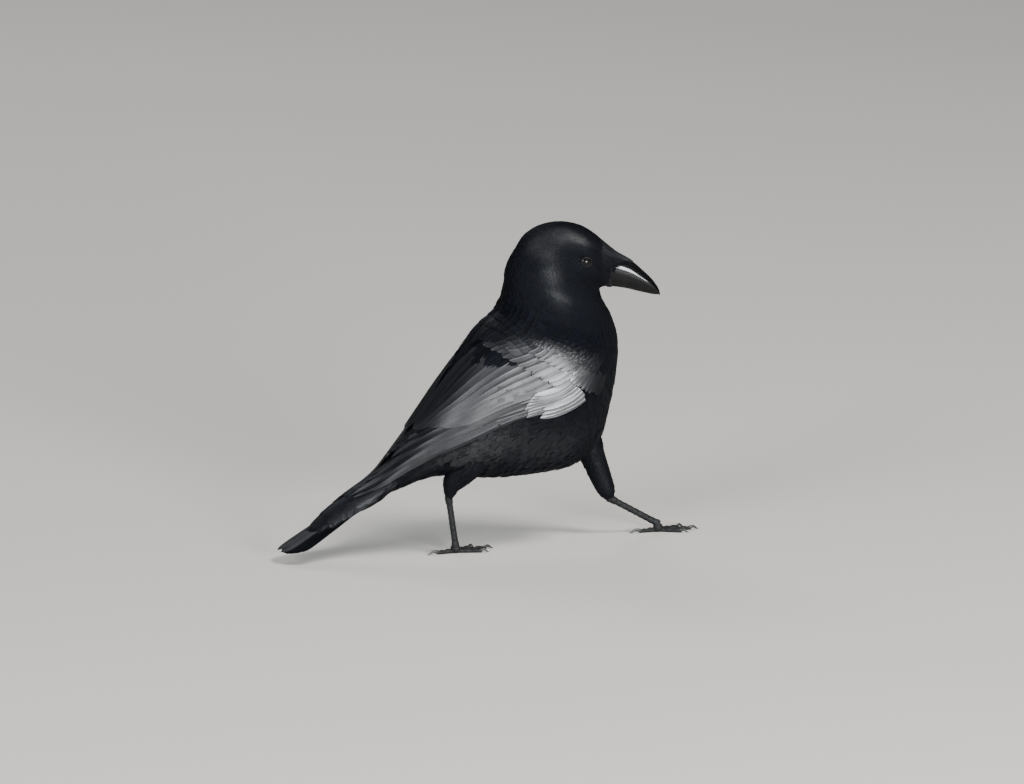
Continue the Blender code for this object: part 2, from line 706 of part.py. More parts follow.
def make_foot(label, foot, heading, side, ankle, leather, horn):
    """Four toes joined at the instep, with flat soles on the floor, and a claw past each toe's end."""
    pieces = []
    for number, (turn, length, radius, claw_length) in enumerate(TOES, 1):
        direction = heading - side * math.radians(turn)
        points, radii = toe_path(foot, direction, length, radius)
        ahead = np.array([math.cos(direction), math.sin(direction), 0.0])
        pieces.append(ring_loft("toe", tube_rings(points, radii, radii, 8, (ahead, ahead)), leather))
        make_claw(f"claw_{label}_{number}", points[-1], ahead, radii[-1], claw_length, horn)
    instep = np.array([foot[0], foot[1], INSTEP_HEIGHT])
    lower_leg = unit(instep - np.array(ankle))
    spine = instep + lower_leg * np.array([-1.0, 1.5, 3.5, 5.0])[:, None]
    widths = np.array([2.75, 2.9, 3.1, 2.6])
    pieces.append(ring_loft("stub", tube_rings(spine, widths, widths, 10, (lower_leg, lower_leg)), leather))
    node = ball("foot_" + label, (foot[0], foot[1], 2.4), INSTEP_RADIUS, leather, 6, 12)
    combine(node, pieces, "UNION")
    return combine(node, [leg_room(ankle, foot, leather), floor_block(leather)], "DIFFERENCE")


def floor_block(material):
    size = 400.0
    corners = np.array([(-size, -size), (size, -size), (size, size), (-size, size)])
    rings = [np.column_stack([corners, np.full(4, height)]) for height in (-40.0, 0.0)]
    return ring_loft("floor_block", np.array(rings), material)


def make_claw(name, toe_end, ahead, radius, length, horn):
    """A claw that leaves the toe's end face to face, arches and comes down to just over the floor."""
    t = np.linspace(0, 1, 5)
    forward = toe_end + ahead * GAP
    points = forward + ahead * (length * t)[:, None]
    points[:, 2] += 0.3 + 0.9 * np.sin(math.pi * np.minimum(t * 1.3, 1)) - (toe_end[2] - 0.3) * t**2
    radii = 0.74 * radius * (1 - t) ** 0.75 + 0.16
    start = ahead
    end = unit(points[-1] - points[-2])
    return ring_loft(name, tube_rings(points, radii, radii * 0.8, 8, (start, end)), horn)


def main():
    for leftover in list(bpy.data.objects):
        bpy.data.objects.remove(leftover)
    plumage = finish("plumage", (0.006, 0.0065, 0.009), 0.42)
    horn = finish("horn", (0.008, 0.008, 0.009), 0.28)
    leather = finish("leg_skin", (0.02, 0.021, 0.024), 0.5)
    globe = finish("eye", (0.006, 0.004, 0.003), 0.06)
    make_trunk(plumage)
    make_head(plumage, globe)
    make_bill(horn)
    for label, side in (("left", 1), ("right", -1)):
        make_wing(label, side, plumage)
    make_tail(plumage)
    legs = (
        ("left", 1, SHANK_LEFT, ANKLE_LEFT, FOOT_LEFT, FOOT_LEFT_TURN),
        ("right", -1, SHANK_RIGHT, ANKLE_RIGHT, FOOT_RIGHT, FOOT_RIGHT_TURN),
    )
    for label, side, shank, ankle, foot, heading in legs:
        make_shank(label, shank, ankle, foot, plumage)
        make_tarsus(label, ankle, foot, leather)
        make_foot(label, foot, heading, side, ankle, leather, horn)


main()
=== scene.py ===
"""The looks of a walking crow: skin, feathers, bill, eyes, legs, and the stage that it stands on.

Tables hold millimetres, and meshes are made in metres. A chart is a surface read by two
parameters. On the trunk they are the place between the listed rings and the angle from the
back, where 90 degrees is the left side and 180 the belly.
"""

import math
from typing import NamedTuple

import bpy
import numpy as np
from bpy.props import FloatProperty, FloatVectorProperty, IntProperty, PointerProperty
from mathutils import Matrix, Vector


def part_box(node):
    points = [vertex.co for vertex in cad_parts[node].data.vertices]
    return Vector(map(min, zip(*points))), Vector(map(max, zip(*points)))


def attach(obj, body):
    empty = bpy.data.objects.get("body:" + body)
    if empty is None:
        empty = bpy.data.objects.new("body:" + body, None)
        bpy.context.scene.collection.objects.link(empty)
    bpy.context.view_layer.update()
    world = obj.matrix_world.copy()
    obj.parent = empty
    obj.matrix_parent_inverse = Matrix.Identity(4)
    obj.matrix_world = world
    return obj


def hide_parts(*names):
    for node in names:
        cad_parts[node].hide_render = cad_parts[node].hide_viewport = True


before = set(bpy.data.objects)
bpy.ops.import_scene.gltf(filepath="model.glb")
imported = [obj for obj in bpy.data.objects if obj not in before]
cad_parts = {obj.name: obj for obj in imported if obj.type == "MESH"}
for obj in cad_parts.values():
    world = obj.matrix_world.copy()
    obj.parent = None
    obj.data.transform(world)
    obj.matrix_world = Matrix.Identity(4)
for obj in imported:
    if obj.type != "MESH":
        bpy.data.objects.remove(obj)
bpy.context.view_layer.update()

bl_info = {
    "name": "Crow",
    "version": (1, 0, 0),
    "blender": (4, 5, 0),
    "location": "3D View > Sidebar > Crow",
    "description": "Makes the skin, feathers, bill, eyes, legs and stage of a walking crow",
    "category": "Add Mesh",
}

MM = 0.001
BODY = "root"

# Rings of the trunk from the tail tip to the bill: top x, top z, bottom x, bottom z, half width.
SKIN_RINGS = [(-201, 20, -209, 0, 22), (-165, 42, -174, 20, 20), (-134, 61, -142, 38, 20)]
SKIN_RINGS += [(-108, 77, -113, 52, 21), (-89, 95.5, -86, 63.5, 25), (-68, 120.5, -57, 71, 32)]
SKIN_RINGS += [(-47, 149, -26, 67.5, 38), (-25, 180.5, 8, 65.5, 41), (-10, 201.5, 44, 67, 43)]
SKIN_RINGS += [(-0.5, 212, 76, 73, 44), (4, 219, 98, 93, 44), (6, 225, 109, 128, 43)]
SKIN_RINGS += [(8, 231, 115.5, 165, 39.5), (9.5, 237, 115, 190, 34.5), (11, 244, 108.5, 210, 29)]
SKIN_RINGS += [(12.5, 252.5, 101, 223, 25), (16, 262.5, 97, 231, 22.5), (22, 273, 97.5, 234, 21.5)]
SKIN_RINGS += [(30, 285, 98.5, 235.5, 21), (44, 293.5, 99.5, 236, 20.5), (62, 296.5, 100.5, 236.2, 19.8)]
SKIN_RINGS += [(80, 293, 101.5, 236.3, 18), (94, 284.5, 102.3, 236.4, 15), (104, 275, 103, 236.5, 12)]
SKIN_RINGS += [(111.5, 268.5, 103.6, 236.6, 9.5)]
LAST_RING = 24.0
TAIL_RING = 4.4
HEAD_TURN = math.radians(15)
TURN_FROM = 11.0
TURN_TO = 18.0
TURN_AXIS_X = 45.0

# How far the folded wings and the back between them stand out: a row for each listed ring, and
# a column for every 20 degrees from the back.
RELIEF_RINGS = (0, 1, 2.5, 4, 6, 8, 9, 10, 11, 12, 13, 14.1, 14.8, 16.5, 18, 24)
RELIEF = [(-0.8, -0.6, -0.4, 0, 0, 0, 0, 0, 0, 0), (-0.8, -1.0, -1.8, -2.6, -2.0, -0.6, 0, 0, 0, 0)]
RELIEF += [(0.6, 0.7, -0.2, -1.8, -2.2, -1.2, -0.3, 0, 0, 0), (3.0, 3.6, 3.8, 3.4, 1.8, 0.3, 0, 0, 0, 0)]
RELIEF += [(4.8, 5.5, 5.8, 5.2, 3.6, 0.9, 0, 0, 0, 0), (3.4, 4.8, 6.0, 6.8, 6.2, 3.2, 0.2, 0, 0, 0)]
RELIEF += [(1.8, 3.2, 5.4, 7.2, 7.6, 6.0, 1.6, 0, 0, 0), (0.6, 1.6, 4.0, 6.6, 8.2, 8.0, 3.6, 0.2, 0, 0)]
RELIEF += [(0.0, 0.4, 2.0, 4.6, 6.8, 7.6, 5.4, 1.0, 0, 0), (0, 0, 0.4, 1.0, 1.9, 2.4, 1.8, 0.4, 0, 0)]
RELIEF += [[0] * 10, [0] * 10, (0.6, 0.7, 0.9, 1.1, 1.2, 1.1, 0.8, 0.4, 0, 0)]
RELIEF += [(0.2, 0.3, 0.5, 0.6, 0.6, 0.6, 0.4, 0.2, 0, 0), [0] * 10, [0] * 10]
# Where the folded wing hides the body: ring and the angles of its upper and lower edge.
WING_EDGES = [(12.6, 90, 98), (12.2, 70, 122), (11.6, 58, 122), (11.0, 52, 116), (10.2, 50, 108)]
WING_EDGES += [(9.0, 40, 99), (7.8, 30, 94), (6.3, 16, 88), (4.7, 10, 82), (2.5, 10, 66)]

# Swellings of the head in the trunk's chart: ring, angle, ring reach, angle reach, height.
HEAD_FORMS = [(20.4, 74, 1.3, 13, 1.1), (22.0, 101, 0.9, 14, -1.1), (20.1, 97, 0.6, 14, -0.9)]
HEAD_FORMS += [(18.8, 118, 1.5, 20, 0.9), (22.8, 150, 0.9, 22, 0.5)]

# The coat down the body: ring, feather length, half width, spacing along, spacing across, depth, unrest.
COAT = [(3.0, 26, 6.2, 6.0, 6.0, 2.2, 0.5), (6.0, 24, 5.6, 5.2, 5.4, 2.4, 0.8)]
COAT += [(9.0, 22, 5.2, 4.8, 5.2, 2.2, 0.7), (12.0, 19, 4.8, 4.4, 4.8, 1.9, 0.45)]
COAT += [(14.0, 15, 3.9, 3.7, 4.0, 1.5, 0.4), (16.0, 11, 2.6, 2.8, 2.7, 1.1, 0.3)]
COAT += [(18.0, 8.4, 1.75, 2.1, 1.85, 0.85, 0.3), (20.0, 6.4, 1.2, 1.6, 1.3, 0.65, 0.3)]
COAT += [(22.0, 5.2, 0.85, 1.25, 0.98, 0.5, 0.3), (24.0, 4.2, 0.65, 1.0, 0.8, 0.4, 0.3)]
COAT_RINGS, *COAT_MEASURES = np.array(COAT).T

# Rows of wing feathers, each from the bird's side to its back: count, then roots, middles and tips
# as ring and angle, half widths, heights over the trunk at root and tip, the tip's shape, the share
# of the length in which it rises, tilt, gloss, and the shaft's place across.
PRIMARIES = (
    9, [(9.0, 94), (9.0, 88), (8.5, 74)],
    [(6.3, 87), (5.3, 78), (5.1, 65), (5.7, 55), (5.9, 50)],
    [(4.7, 80), (2.5, 54), (1.9, 24), (3.7, 13), (4.7, 18)],
    (4.4, 5.0), ((-0.3, 0.8), (-0.6, 0.1)), (0.6, 0.7, 0.1), 0.6, 0.09, (0.24, 0.28, 0.36), 0.42,
)
SECONDARIES = (
    13, [(10.3, 91), (9.9, 74), (9.0, 54), (8.3, 24)],
    [(7.9, 82), (7.0, 67), (6.3, 43), (6.2, 12)],
    [(6.2, 76), (5.3, 47), (4.8, 20), (4.9, 5)],
    (5.4, 7.4), ((-1.6, 1.3), (-1.2, 2.2)), (0.6, 0.8, 0.14), 0.6, 0.06, (0.28, 0.42, 0.5, 0.16), 0.3,
)
PRIMARY_COVERTS = (
    8, [(10.4, 107), (10.4, 98), (10.3, 93)],
    [(9.0, 95), (9.1, 89), (9.3, 86)],
    [(7.9, 94), (8.0, 87), (8.4, 82)],
    (3.2, 3.6), ((-0.6, 1.1), (-0.5, 1.4)), (0.6, 0.55, 0.06), 1.0, 0.14, (1.0, 1.0), 0.3,
)
GREATER_COVERTS = (
    12, [(11.4, 107), (11.1, 82), (10.7, 56), (10.2, 36)],
    [(10.55, 92), (9.9, 70), (9.1, 49), (8.7, 31)],
    [(9.5, 84), (8.7, 65), (8.0, 45), (7.6, 26)],
    (4.8, 5.6), ((-0.6, 1.0), (-0.7, 0.8)), (0.5, 0.7, 0.14), 1.0, 0.07, (1.0, 0.44, 0.3, 0.28), 0.15,
)
MEDIAN_COVERTS = (
    13, [(11.65, 116), (11.4, 90), (11.2, 71), (10.9, 55)],
    [(11.2, 104), (10.85, 83), (10.4, 65), (9.9, 48)],
    [(10.7, 96), (10.2, 76), (9.6, 60), (9.0, 43)],
    (4.3, 4.8), ((-0.4, 1.2), (-0.5, 1.0)), (0.5, 0.6, 0.16), 1.0, 0.08, (1.0, 0.6, 0.35, 0.25), 0.1,
)
BEND_COVERTS = (
    9, [(11.6, 133), (11.45, 120), (11.2, 102)],
    [(11.15, 126), (11.0, 112), (10.75, 96.5)],
    [(10.75, 120), (10.5, 106), (10.25, 92)],
    (3.6, 4.0), ((-0.6, 0.8), (-0.4, 1.6)), (0.5, 0.55, 0.2), 1.0, 0.1, (0.05, 0.25, 1.0), 0.1,
)
ALULA = (
    3, [(10.3, 109), (10.4, 104)],
    [(9.3, 100), (9.45, 96.5)],
    [(8.3, 97), (8.6, 92.5)],
    (3.3, 3.5), ((-0.4, 1.9), (-0.2, 2.2)), (0.6, 0.6, 0.1), 1.0, 0.18, (1.0, 1.0), 0.3,
)
WING_ROWS = [PRIMARIES, SECONDARIES, PRIMARY_COVERTS, GREATER_COVERTS, MEDIAN_COVERTS, BEND_COVERTS, ALULA]
# The body feathers' gloss, and their glossier places: ring, angle, ring reach, angle reach, gloss.
BODY_GLOSS = 0.005
GLOSS_PLACES = [(19.3, 36, 1.0, 16, 0.2), (20.4, 54, 1.0, 10, 0.2), (21.3, 59, 0.6, 9, 0.13)]
GLOSS_PLACES += [(18.5, 63, 0.6, 13, 0.1), (17.2, 81, 0.9, 11, 0.08), (15.5, 86, 1.0, 12, 0.06)]
GLOSS_PLACES += [(12.7, 42, 0.7, 20, 0.02), (11.0, 0, 1.6, 40, 0.04), (4.4, 0, 1.6, 50, 0.2)]
GLOSS_PLACES += [(6.8, 108, 1.4, 13, 0.4), (8.9, 126, 1.3, 16, 0.2)]
# Small coverts of the arm: root and tip of the hindmost row and of the foremost one.
LESSER_BACK = (
    [(11.75, 121), (11.65, 97), (11.45, 79), (11.1, 60)],
    [(11.2, 109), (10.95, 87), (10.6, 70), (10.1, 54)],
)
LESSER_FRONT = (
    [(12.7, 136), (12.6, 112), (12.5, 88), (12.2, 62)],
    [(12.2, 128), (12.1, 105), (12.0, 81), (11.6, 57)],
)
LESSER_ROWS = 7
LESSER_COUNT = 20
# Scapulars: roots, tips, lifts, half width and gloss of each row, from the side to the back.
SCAPULAR_ROWS = [
    ([(9.7, 53), (9.2, 12)], [(8.4, 45), (7.3, 8)], (-0.5, 1.6), 6.4, 0.3),
    ([(10.4, 56), (9.9, 12)], [(9.1, 49), (8.2, 9)], (-0.5, 1.4), 6.0, 0.2),
    ([(11.0, 59), (10.6, 12)], [(9.8, 53), (9.0, 10)], (-0.4, 1.2), 5.4, 0.06),
    ([(11.6, 61), (11.3, 12)], [(10.5, 56), (9.9, 11)], (-0.4, 1.0), 4.8, 0.0),
    ([(12.1, 63), (11.9, 12)], [(11.2, 59), (10.7, 11)], (-0.4, 0.8), 4.2, 0.0),
]
SCAPULAR_COUNT = 10
# How much farther back the left wing's flight feathers reach, in rings, and how much higher the
# right wing lies, so that their tips cross over the tail.
FAR_REACH = 0.2
RIGHT_LIFT = 0.3

MOUTH_BASE = (107.2, 251.0)
UPPER_RIDGE = [(111.5, 268.0), (120, 263.6), (128, 258.6), (137, 250.6), (145, 242.6), (150.8, 234)]
UPPER_RIDGE += [(152.3, 228)]
UPPER_EDGE = [MOUTH_BASE, (116.5, 248.2), (125, 245.2), (134, 241.6), (143, 236.8), (149, 231.6)]
UPPER_EDGE += [(151.5, 228)]
UPPER_HALF_WIDTH = [8.7, 7.7, 6.6, 5.3, 3.95, 2.4, 0.8]
LOWER_KEEL = [(103.6, 237), (113, 236), (122, 234.5), (131, 232.2), (139, 230.3), (146, 228.8)]
LOWER_KEEL += [(150.5, 228.5)]
LOWER_EDGE = UPPER_EDGE[:5] + [(147.6, 233.0), (151.0, 229.9)]
LOWER_HALF_WIDTH = [8.2, 7.0, 5.9, 4.6, 3.2, 1.7, 0.5]
BILL_ROUNDNESS = 0.98
BILL_GAP = 0.35
QUARTER = math.pi / 2

SIDES = (("left", 1), ("right", -1))
# Added to the plumage's seed, so that each kind of feather has its own random draws.
WING_SEED, TAIL_SEED, BRISTLE_SEED = 40, 80, 120
# Points round a lid's bead, beads round the eye, and points round the skin.
LID_AROUND = 12
LID_SECTIONS = 72
SKIN_AROUND = 96
# How far the skin lies below the roots of the coat, and under the shanks' and the rump's surface.
SKIN_GAP = 0.35
SHANK_COAT = 1.3
RUMP_COAT = 1.6

EYE_RING = 20.1
EYE_ANGLE = math.radians(97)

TAIL_ROOT = np.array([-105.0, 0.0, 66.0])
TAIL_SLOPE = math.radians(31)
TAIL_BACK = np.array([-math.cos(TAIL_SLOPE), 0.0, -math.sin(TAIL_SLOPE)])
TAIL_UP = np.array([-math.sin(TAIL_SLOPE), 0.0, math.cos(TAIL_SLOPE)])
TAIL_LENGTH = 110.5
TAIL_HALF_WIDTH = 22.0
TAIL_PAIRS = 6
TAIL_DROOP = 0.006
# The gloss of the other feathers.
TAIL_GLOSS = 0.22
RUMP_GLOSS = 0.12
BRISTLE_GLOSS = 0.06
DOWN_GLOSS = 0.03
# The coverts over and under the tail: distance, height, depth and half width.
TAIL_COVERTS = [(14, 12.5, 9.5, 18.5), (30, 12.3, 6.4, 18), (46, 11.2, 3.8, 17.5)]
TAIL_COVERTS += [(60, 9.2, 2.8, 16), (72, 6.2, 1.6, 14), (80, 3.0, 1.2, 11)]

SHANK_RIGHT = [(-20, -24, 100, 17, 12), (-32, -19, 80, 13.5, 11), (-42, -14, 66, 9.6, 8.6)]
SHANK_RIGHT += [(-45, -12.5, 56, 5.5, 5), (-45.6, -12, 51, 3.3, 3.1)]
SHANK_LEFT = [(58, 12, 132, 13, 9), (78, 19, 111, 16, 12), (93.5, 22.5, 90, 15, 12)]
SHANK_LEFT += [(101, 21, 73, 11.5, 9.5)]
SHANK_LEFT += [(107, 20, 57, 10, 8.5), (113.5, 18.8, 41, 8, 7), (116.5, 18.3, 34, 4, 3.8)]
LEGS = {
    "left": (SHANK_LEFT, (117.4, 18.2, 33.2), (162.0, 17.0), math.radians(-3), 1),
    "right": (SHANK_RIGHT, (-45.8, -12.0, 50.4), (-39.0, -10.0), math.radians(10), -1),
}
TARSUS_RADIUS = 2.5
INSTEP_HEIGHT = 7.5
SCUTES = 9
# Toes: turn from the foot's direction, length without the claw, radius at the root, claw length.
TOES = [(0, 30, 2.5, 9), (27, 21, 2.3, 8), (-25, 23, 2.3, 8), (176, 17, 2.5, 11)]


def smooth_rows(table, places):
    """Rows of a table between its own, on the cubic curve that passes through them evenly."""
    table = np.asarray(table, float)
    last = len(table) - 1
    places = np.clip(np.asarray(places, float), 0, last)
    start = np.clip(np.floor(places).astype(int), 0, last - 1)
    t = (places - start).reshape(places.shape + (1,) * (table.ndim - 1))
    a, b, c, d = (table[np.clip(start + step, 0, last)] for step in (-1, 0, 1, 2))
    bend = (2 * a - 5 * b + 4 * c - d) * t**2 + (3 * b - a - 3 * c + d) * t**3
    return 0.5 * (2 * b + (c - a) * t + bend)


def smooth_path(points, count):
    return smooth_rows(points, np.linspace(0, len(points) - 1, count))


def unit(vectors):
    return vectors / np.maximum(np.linalg.norm(vectors, axis=-1, keepdims=True), 1e-12)


def ease(x):
    """The smooth step from 0 to 1: three squares less two cubes."""
    x = np.clip(x, 0, 1)
    return x * x * (3 - 2 * x)


def turned(points, ring):
    """Points turned with the head, not at all below the neck and fully from the jaw on."""
    angle = HEAD_TURN * ease((np.asarray(ring, float) - TURN_FROM) / (TURN_TO - TURN_FROM))
    x, y = points[..., 0] - TURN_AXIS_X, points[..., 1]
    across = y * np.cos(angle) - x * np.sin(angle)
    return np.stack([TURN_AXIS_X + x * np.cos(angle) + y * np.sin(angle), across, points[..., 2]], -1)


def trunk_point(ring, angle):
    """An oval ring: back to belly by the cosine of the angle, and side to side by its sine."""
    ring, angle = np.broadcast_arrays(np.asarray(ring, float), np.asarray(angle, float))
    top_x, top_z, bottom_x, bottom_z, half_width = np.moveaxis(smooth_rows(SKIN_RINGS, ring), -1, 0)
    drop = (1 - np.cos(angle)) / 2
    x, z = top_x + (bottom_x - top_x) * drop, top_z + (bottom_z - top_z) * drop
    return turned(np.stack([x, half_width * np.sin(angle), z], -1), ring)


class Chart:
    """A surface kept as a fine grid of points and read between them along two parameters."""

    def __init__(self, points, u_range, v_range, outward=None):
        self.points = points
        self.low = np.array([u_range[0], v_range[0]], float)
        self.step = (np.array([u_range[1], v_range[1]]) - self.low) / (np.array(points.shape[:2]) - 1)
        self.u_slope = np.gradient(points, axis=0) / self.step[0]
        self.v_slope = np.gradient(points, axis=1) / self.step[1]
        normals = unit(np.cross(self.u_slope, self.v_slope))
        away = points - points.mean(1, keepdims=True) if outward is None else np.asarray(outward, float)
        self.normals = normals * np.sign((normals * away).sum())

    def read(self, table, u, v):
        """The grid's values at a place: those of the four nearest points, weighted by nearness."""
        rows, columns = self.points.shape[:2]
        x = np.clip((u - self.low[0]) / self.step[0], 0, rows - 1.001)
        y = np.clip((v - self.low[1]) / self.step[1], 0, columns - 1.001)
        i, j = x.astype(int), y.astype(int)
        a, b = (x - i)[..., None], (y - j)[..., None]
        near = table[i, j] * (1 - b) + table[i, j + 1] * b
        far = table[i + 1, j] * (1 - b) + table[i + 1, j + 1] * b
        return near * (1 - a) + far * a

    def at(self, u, v):
        return self.read(self.points, u, v)

    def frame(self, u, v):
        slopes = self.read(self.u_slope, u, v), self.read(self.v_slope, u, v)
        return self.at(u, v), *slopes, unit(self.read(self.normals, u, v))

    def sunk(self, u, v, depth):
        """A grid of points under the surface by the depth."""
        u, v = np.broadcast_arrays(u[:, None], v[None])
        return self.at(u, v) - self.read(self.normals, u, v) * np.asarray(depth)[..., None]

    def steps(self, slopes, direction):
        """The change of both parameters for one millimetre along a direction in the surface."""
        u_slope, v_slope = slopes
        uu, vv, uv = (u_slope**2).sum(-1), (v_slope**2).sum(-1), (u_slope * v_slope).sum(-1)
        du, dv = (direction * u_slope).sum(-1), (direction * v_slope).sum(-1)
        room = uu * vv - uv * uv
        return (du * vv - dv * uv) / room, (dv * uu - du * uv) / room


def relief(rings, angles):
    """The relief at every ring and angle: cubic curves between the rows, then between the columns."""
    rows = smooth_rows(RELIEF, np.interp(rings, RELIEF_RINGS, np.arange(len(RELIEF))))
    return smooth_rows(rows.T, np.abs(np.degrees(angles)) / 20).T


def bells(table, ring, angle, rises=0):
    """A sum of bells over ring and angle, each from a row of place, reach and height."""
    side = np.abs(np.degrees(angle))
    for at_ring, at_angle, ring_reach, angle_reach, height in table:
        off = ((ring - at_ring) / ring_reach) ** 2 + ((side - at_angle) / angle_reach) ** 2
        rises = rises + height * np.exp(-off)
    return rises


def gloss_at(ring, angle):
    """The gloss of the body feathers: a base and the glossy places."""
    return np.clip(bells(GLOSS_PLACES, ring, angle, BODY_GLOSS), 0, 1)


def coat_at(ring):
    """The coat's six measures at a ring."""
    return [np.interp(ring, COAT_RINGS, measure) for measure in COAT_MEASURES]


def make_trunk_chart():
    ring, angle = np.linspace(0, LAST_RING, 481), np.radians(np.linspace(-210, 210, 281))
    ranges = (0, LAST_RING), (angle[0], angle[-1])
    flat = Chart(trunk_point(ring[:, None], angle[None]), *ranges)
    rise = bells(HEAD_FORMS, ring[:, None], angle[None]) + relief(ring, np.arccos(np.cos(angle)))
    return Chart(flat.points + flat.normals * rise[..., None], *ranges)


def tail_point(distance, across, lift):
    """A point of the tail: distance back from its root, left of the middle, and lift over its plane."""
    distance, across, lift = (np.asarray(value, float)[..., None] for value in (distance, across, lift))
    return TAIL_ROOT + TAIL_BACK * distance + np.array([0.0, 1.0, 0.0]) * across + TAIL_UP * lift


def make_rump_chart():
    """The rump: the trunk's last rings drawn out into the tapered root of the tail."""
    angle = np.radians(np.linspace(-210, 210, 141))
    rings = [trunk_point(ring, angle) for ring in (TAIL_RING, 3.9, 3.4)]
    for distance, above, below, half_width in TAIL_COVERTS:
        across = half_width * np.sin(angle)
        height = np.where(np.cos(angle) > 0, above, below) * np.cos(angle) - 0.5 - TAIL_DROOP * across**2
        rings.append(tail_point(np.full_like(angle, distance), across, height))
    points = smooth_rows(np.array(rings).reshape(len(rings), -1), np.linspace(0, len(rings) - 1, 121))
    return Chart(points.reshape(121, len(angle), 3), (0, len(rings) - 1), (angle[0], angle[-1]))


def make_tail_chart():
    """The tail's plane, arched across by the square of the distance from its middle."""
    distance = np.linspace(-10, TAIL_LENGTH + 10, 61)[:, None]
    across = np.linspace(-TAIL_HALF_WIDTH - 12, TAIL_HALF_WIDTH + 12, 61)[None]
    points = tail_point(distance + 0 * across, across + 0 * distance, -TAIL_DROOP * across**2 + 0 * distance)
    return Chart(points, (distance[0, 0], distance[-1, 0]), (across[0, 0], across[0, -1]), TAIL_UP)


def tube_rings(spine, half_depth, half_width, around):
    """Ovals square to a spine: depth in the spine's upright plane, and width across it."""
    spine = np.asarray(spine, float)
    tangent = unit(np.gradient(spine, axis=0))
    across = np.cross(tangent, [0.0, 0.0, 1.0])
    across[np.linalg.norm(across, axis=1) < 0.05] = [0.0, 1.0, 0.0]
    across = unit(across)
    depth = np.cross(across, tangent)
    around = np.asarray(around)[None, :, None]
    wide = np.asarray(half_width)[:, None, None] * across[:, None] * np.sin(around)
    return spine[:, None] + wide + np.asarray(half_depth)[:, None, None] * depth[:, None] * np.cos(around)


def shank_chart(points):
    path = smooth_path(points, 81)
    angle = np.radians(np.linspace(-210, 210, 71))
    rings = tube_rings(path[:, :3], path[:, 3], path[:, 4], angle)
    return Chart(rings, (0, 1), (angle[0], angle[-1]))


def put_mesh(name, points, faces, material, fields=None, bake=None, sharp=50):
    """A mesh object from points in millimetres and arrays of equal faces, with its own fields."""
    points = np.asarray(points, float).reshape(-1, 3)
    mesh = bpy.data.meshes.new(name)
    mesh.vertices.add(len(points))
    mesh.vertices.foreach_set("co", (points * MM).astype(np.float32).ravel())
    corners = np.concatenate([np.asarray(face, np.int32).ravel() for face in faces])
    sizes = np.concatenate([np.full(len(face), np.shape(face)[1]) for face in faces])
    mesh.loops.add(len(corners))
    mesh.loops.foreach_set("vertex_index", corners)
    mesh.polygons.add(len(sizes))
    mesh.polygons.foreach_set("loop_start", np.concatenate([[0], np.cumsum(sizes)[:-1]]).astype(np.int32))
    mesh.update(calc_edges=True)
    for field, values in (fields or {}).items():
        values = np.asarray(values, np.float32)
        kind, key = ("FLOAT", "value") if values.ndim == 1 else ("FLOAT_VECTOR", "vector")
        mesh.attributes.new(field, kind, "POINT").data.foreach_set(key, values.ravel())
    if bake is not None:
        layer = mesh.uv_layers.new(name="OFBake")
        layer.uv.foreach_set("vector", np.asarray(bake, np.float32)[corners].ravel())
    mesh.shade_smooth()
    mesh.set_sharp_from_angle(angle=math.radians(sharp))
    mesh.materials.append(material)
    piece = bpy.data.objects.new(name, mesh)
    bpy.context.scene.collection.objects.link(piece)
    return piece


def band_faces(rows, around):
    """Quads between neighbouring rings, where each ring closes on itself."""
    i, j = np.meshgrid(np.arange(rows - 1), np.arange(around), indexing="ij")
    a, b = i * around + j, i * around + (j + 1) % around
    return np.stack([a, a + around, b + around, b], -1).reshape(-1, 4)


def loft_shape(rings, flip=False):
    """A closed body over rings of equal counts, with a middle point at each end after their points."""
    rows, around = rings.shape[:2]
    points = np.concatenate([rings.reshape(-1, 3), [rings[0].mean(0)], [rings[-1].mean(0)]])
    column = np.arange(around)
    follow = (column + 1) % around
    middle, last = np.full(around, rows * around), (rows - 1) * around
    ends = [(middle, column, follow), (middle + 1, last + follow, last + column)]
    faces = [band_faces(rows, around), np.concatenate([np.stack(end, -1) for end in ends])]
    return points, [face[:, ::-1] if flip else face for face in faces]


def loft(name, rings, material, flip=False, **options):
    return put_mesh(name, *loft_shape(rings, flip), material, **options)


def vane_section(shaft, thickness, camber, points):
    """A vane cut across: arched above with the shaft's ridge, and flat below, as offset and height."""
    if points == 4:
        return np.array([(-1, 0), (0, camber), (1, 0), (0, camber - thickness)], float)
    top = np.array([-1, -0.55, shaft - 0.08, shaft, shaft + 0.08, (1 + shaft) / 2, 1])
    ridge = np.array([0, 0, 0, 0.12, 0, 0, 0])
    bottom = np.array([0.6, 0.0, -0.6])
    high = camber * (1 - top**2) + ridge
    low = camber * (1 - bottom**2) - thickness
    return np.column_stack([np.concatenate([top, bottom]), np.concatenate([high, low])])


def tip_shape(t, root, widest, end):
    """The share of a vane's width along it: a swelling from the root, then a quarter oval to the tip."""
    rise = root + (1 - root) * ease(t / widest)
    fall = np.sqrt(np.clip(1 - ((t - widest) / (1 - widest)) ** 2, end**2, 1))
    return np.where(t < widest, rise, fall)


class Vanes(NamedTuple):
    """Vanes of one kind: places and measures by feather and step along, and their cross section."""

    u: np.ndarray
    v: np.ndarray
    half_widths: np.ndarray
    lifts: np.ndarray
    section: np.ndarray
    steps: np.ndarray
    gloss: float
    tilt: float = 0.0
    shaft: float = 0.0


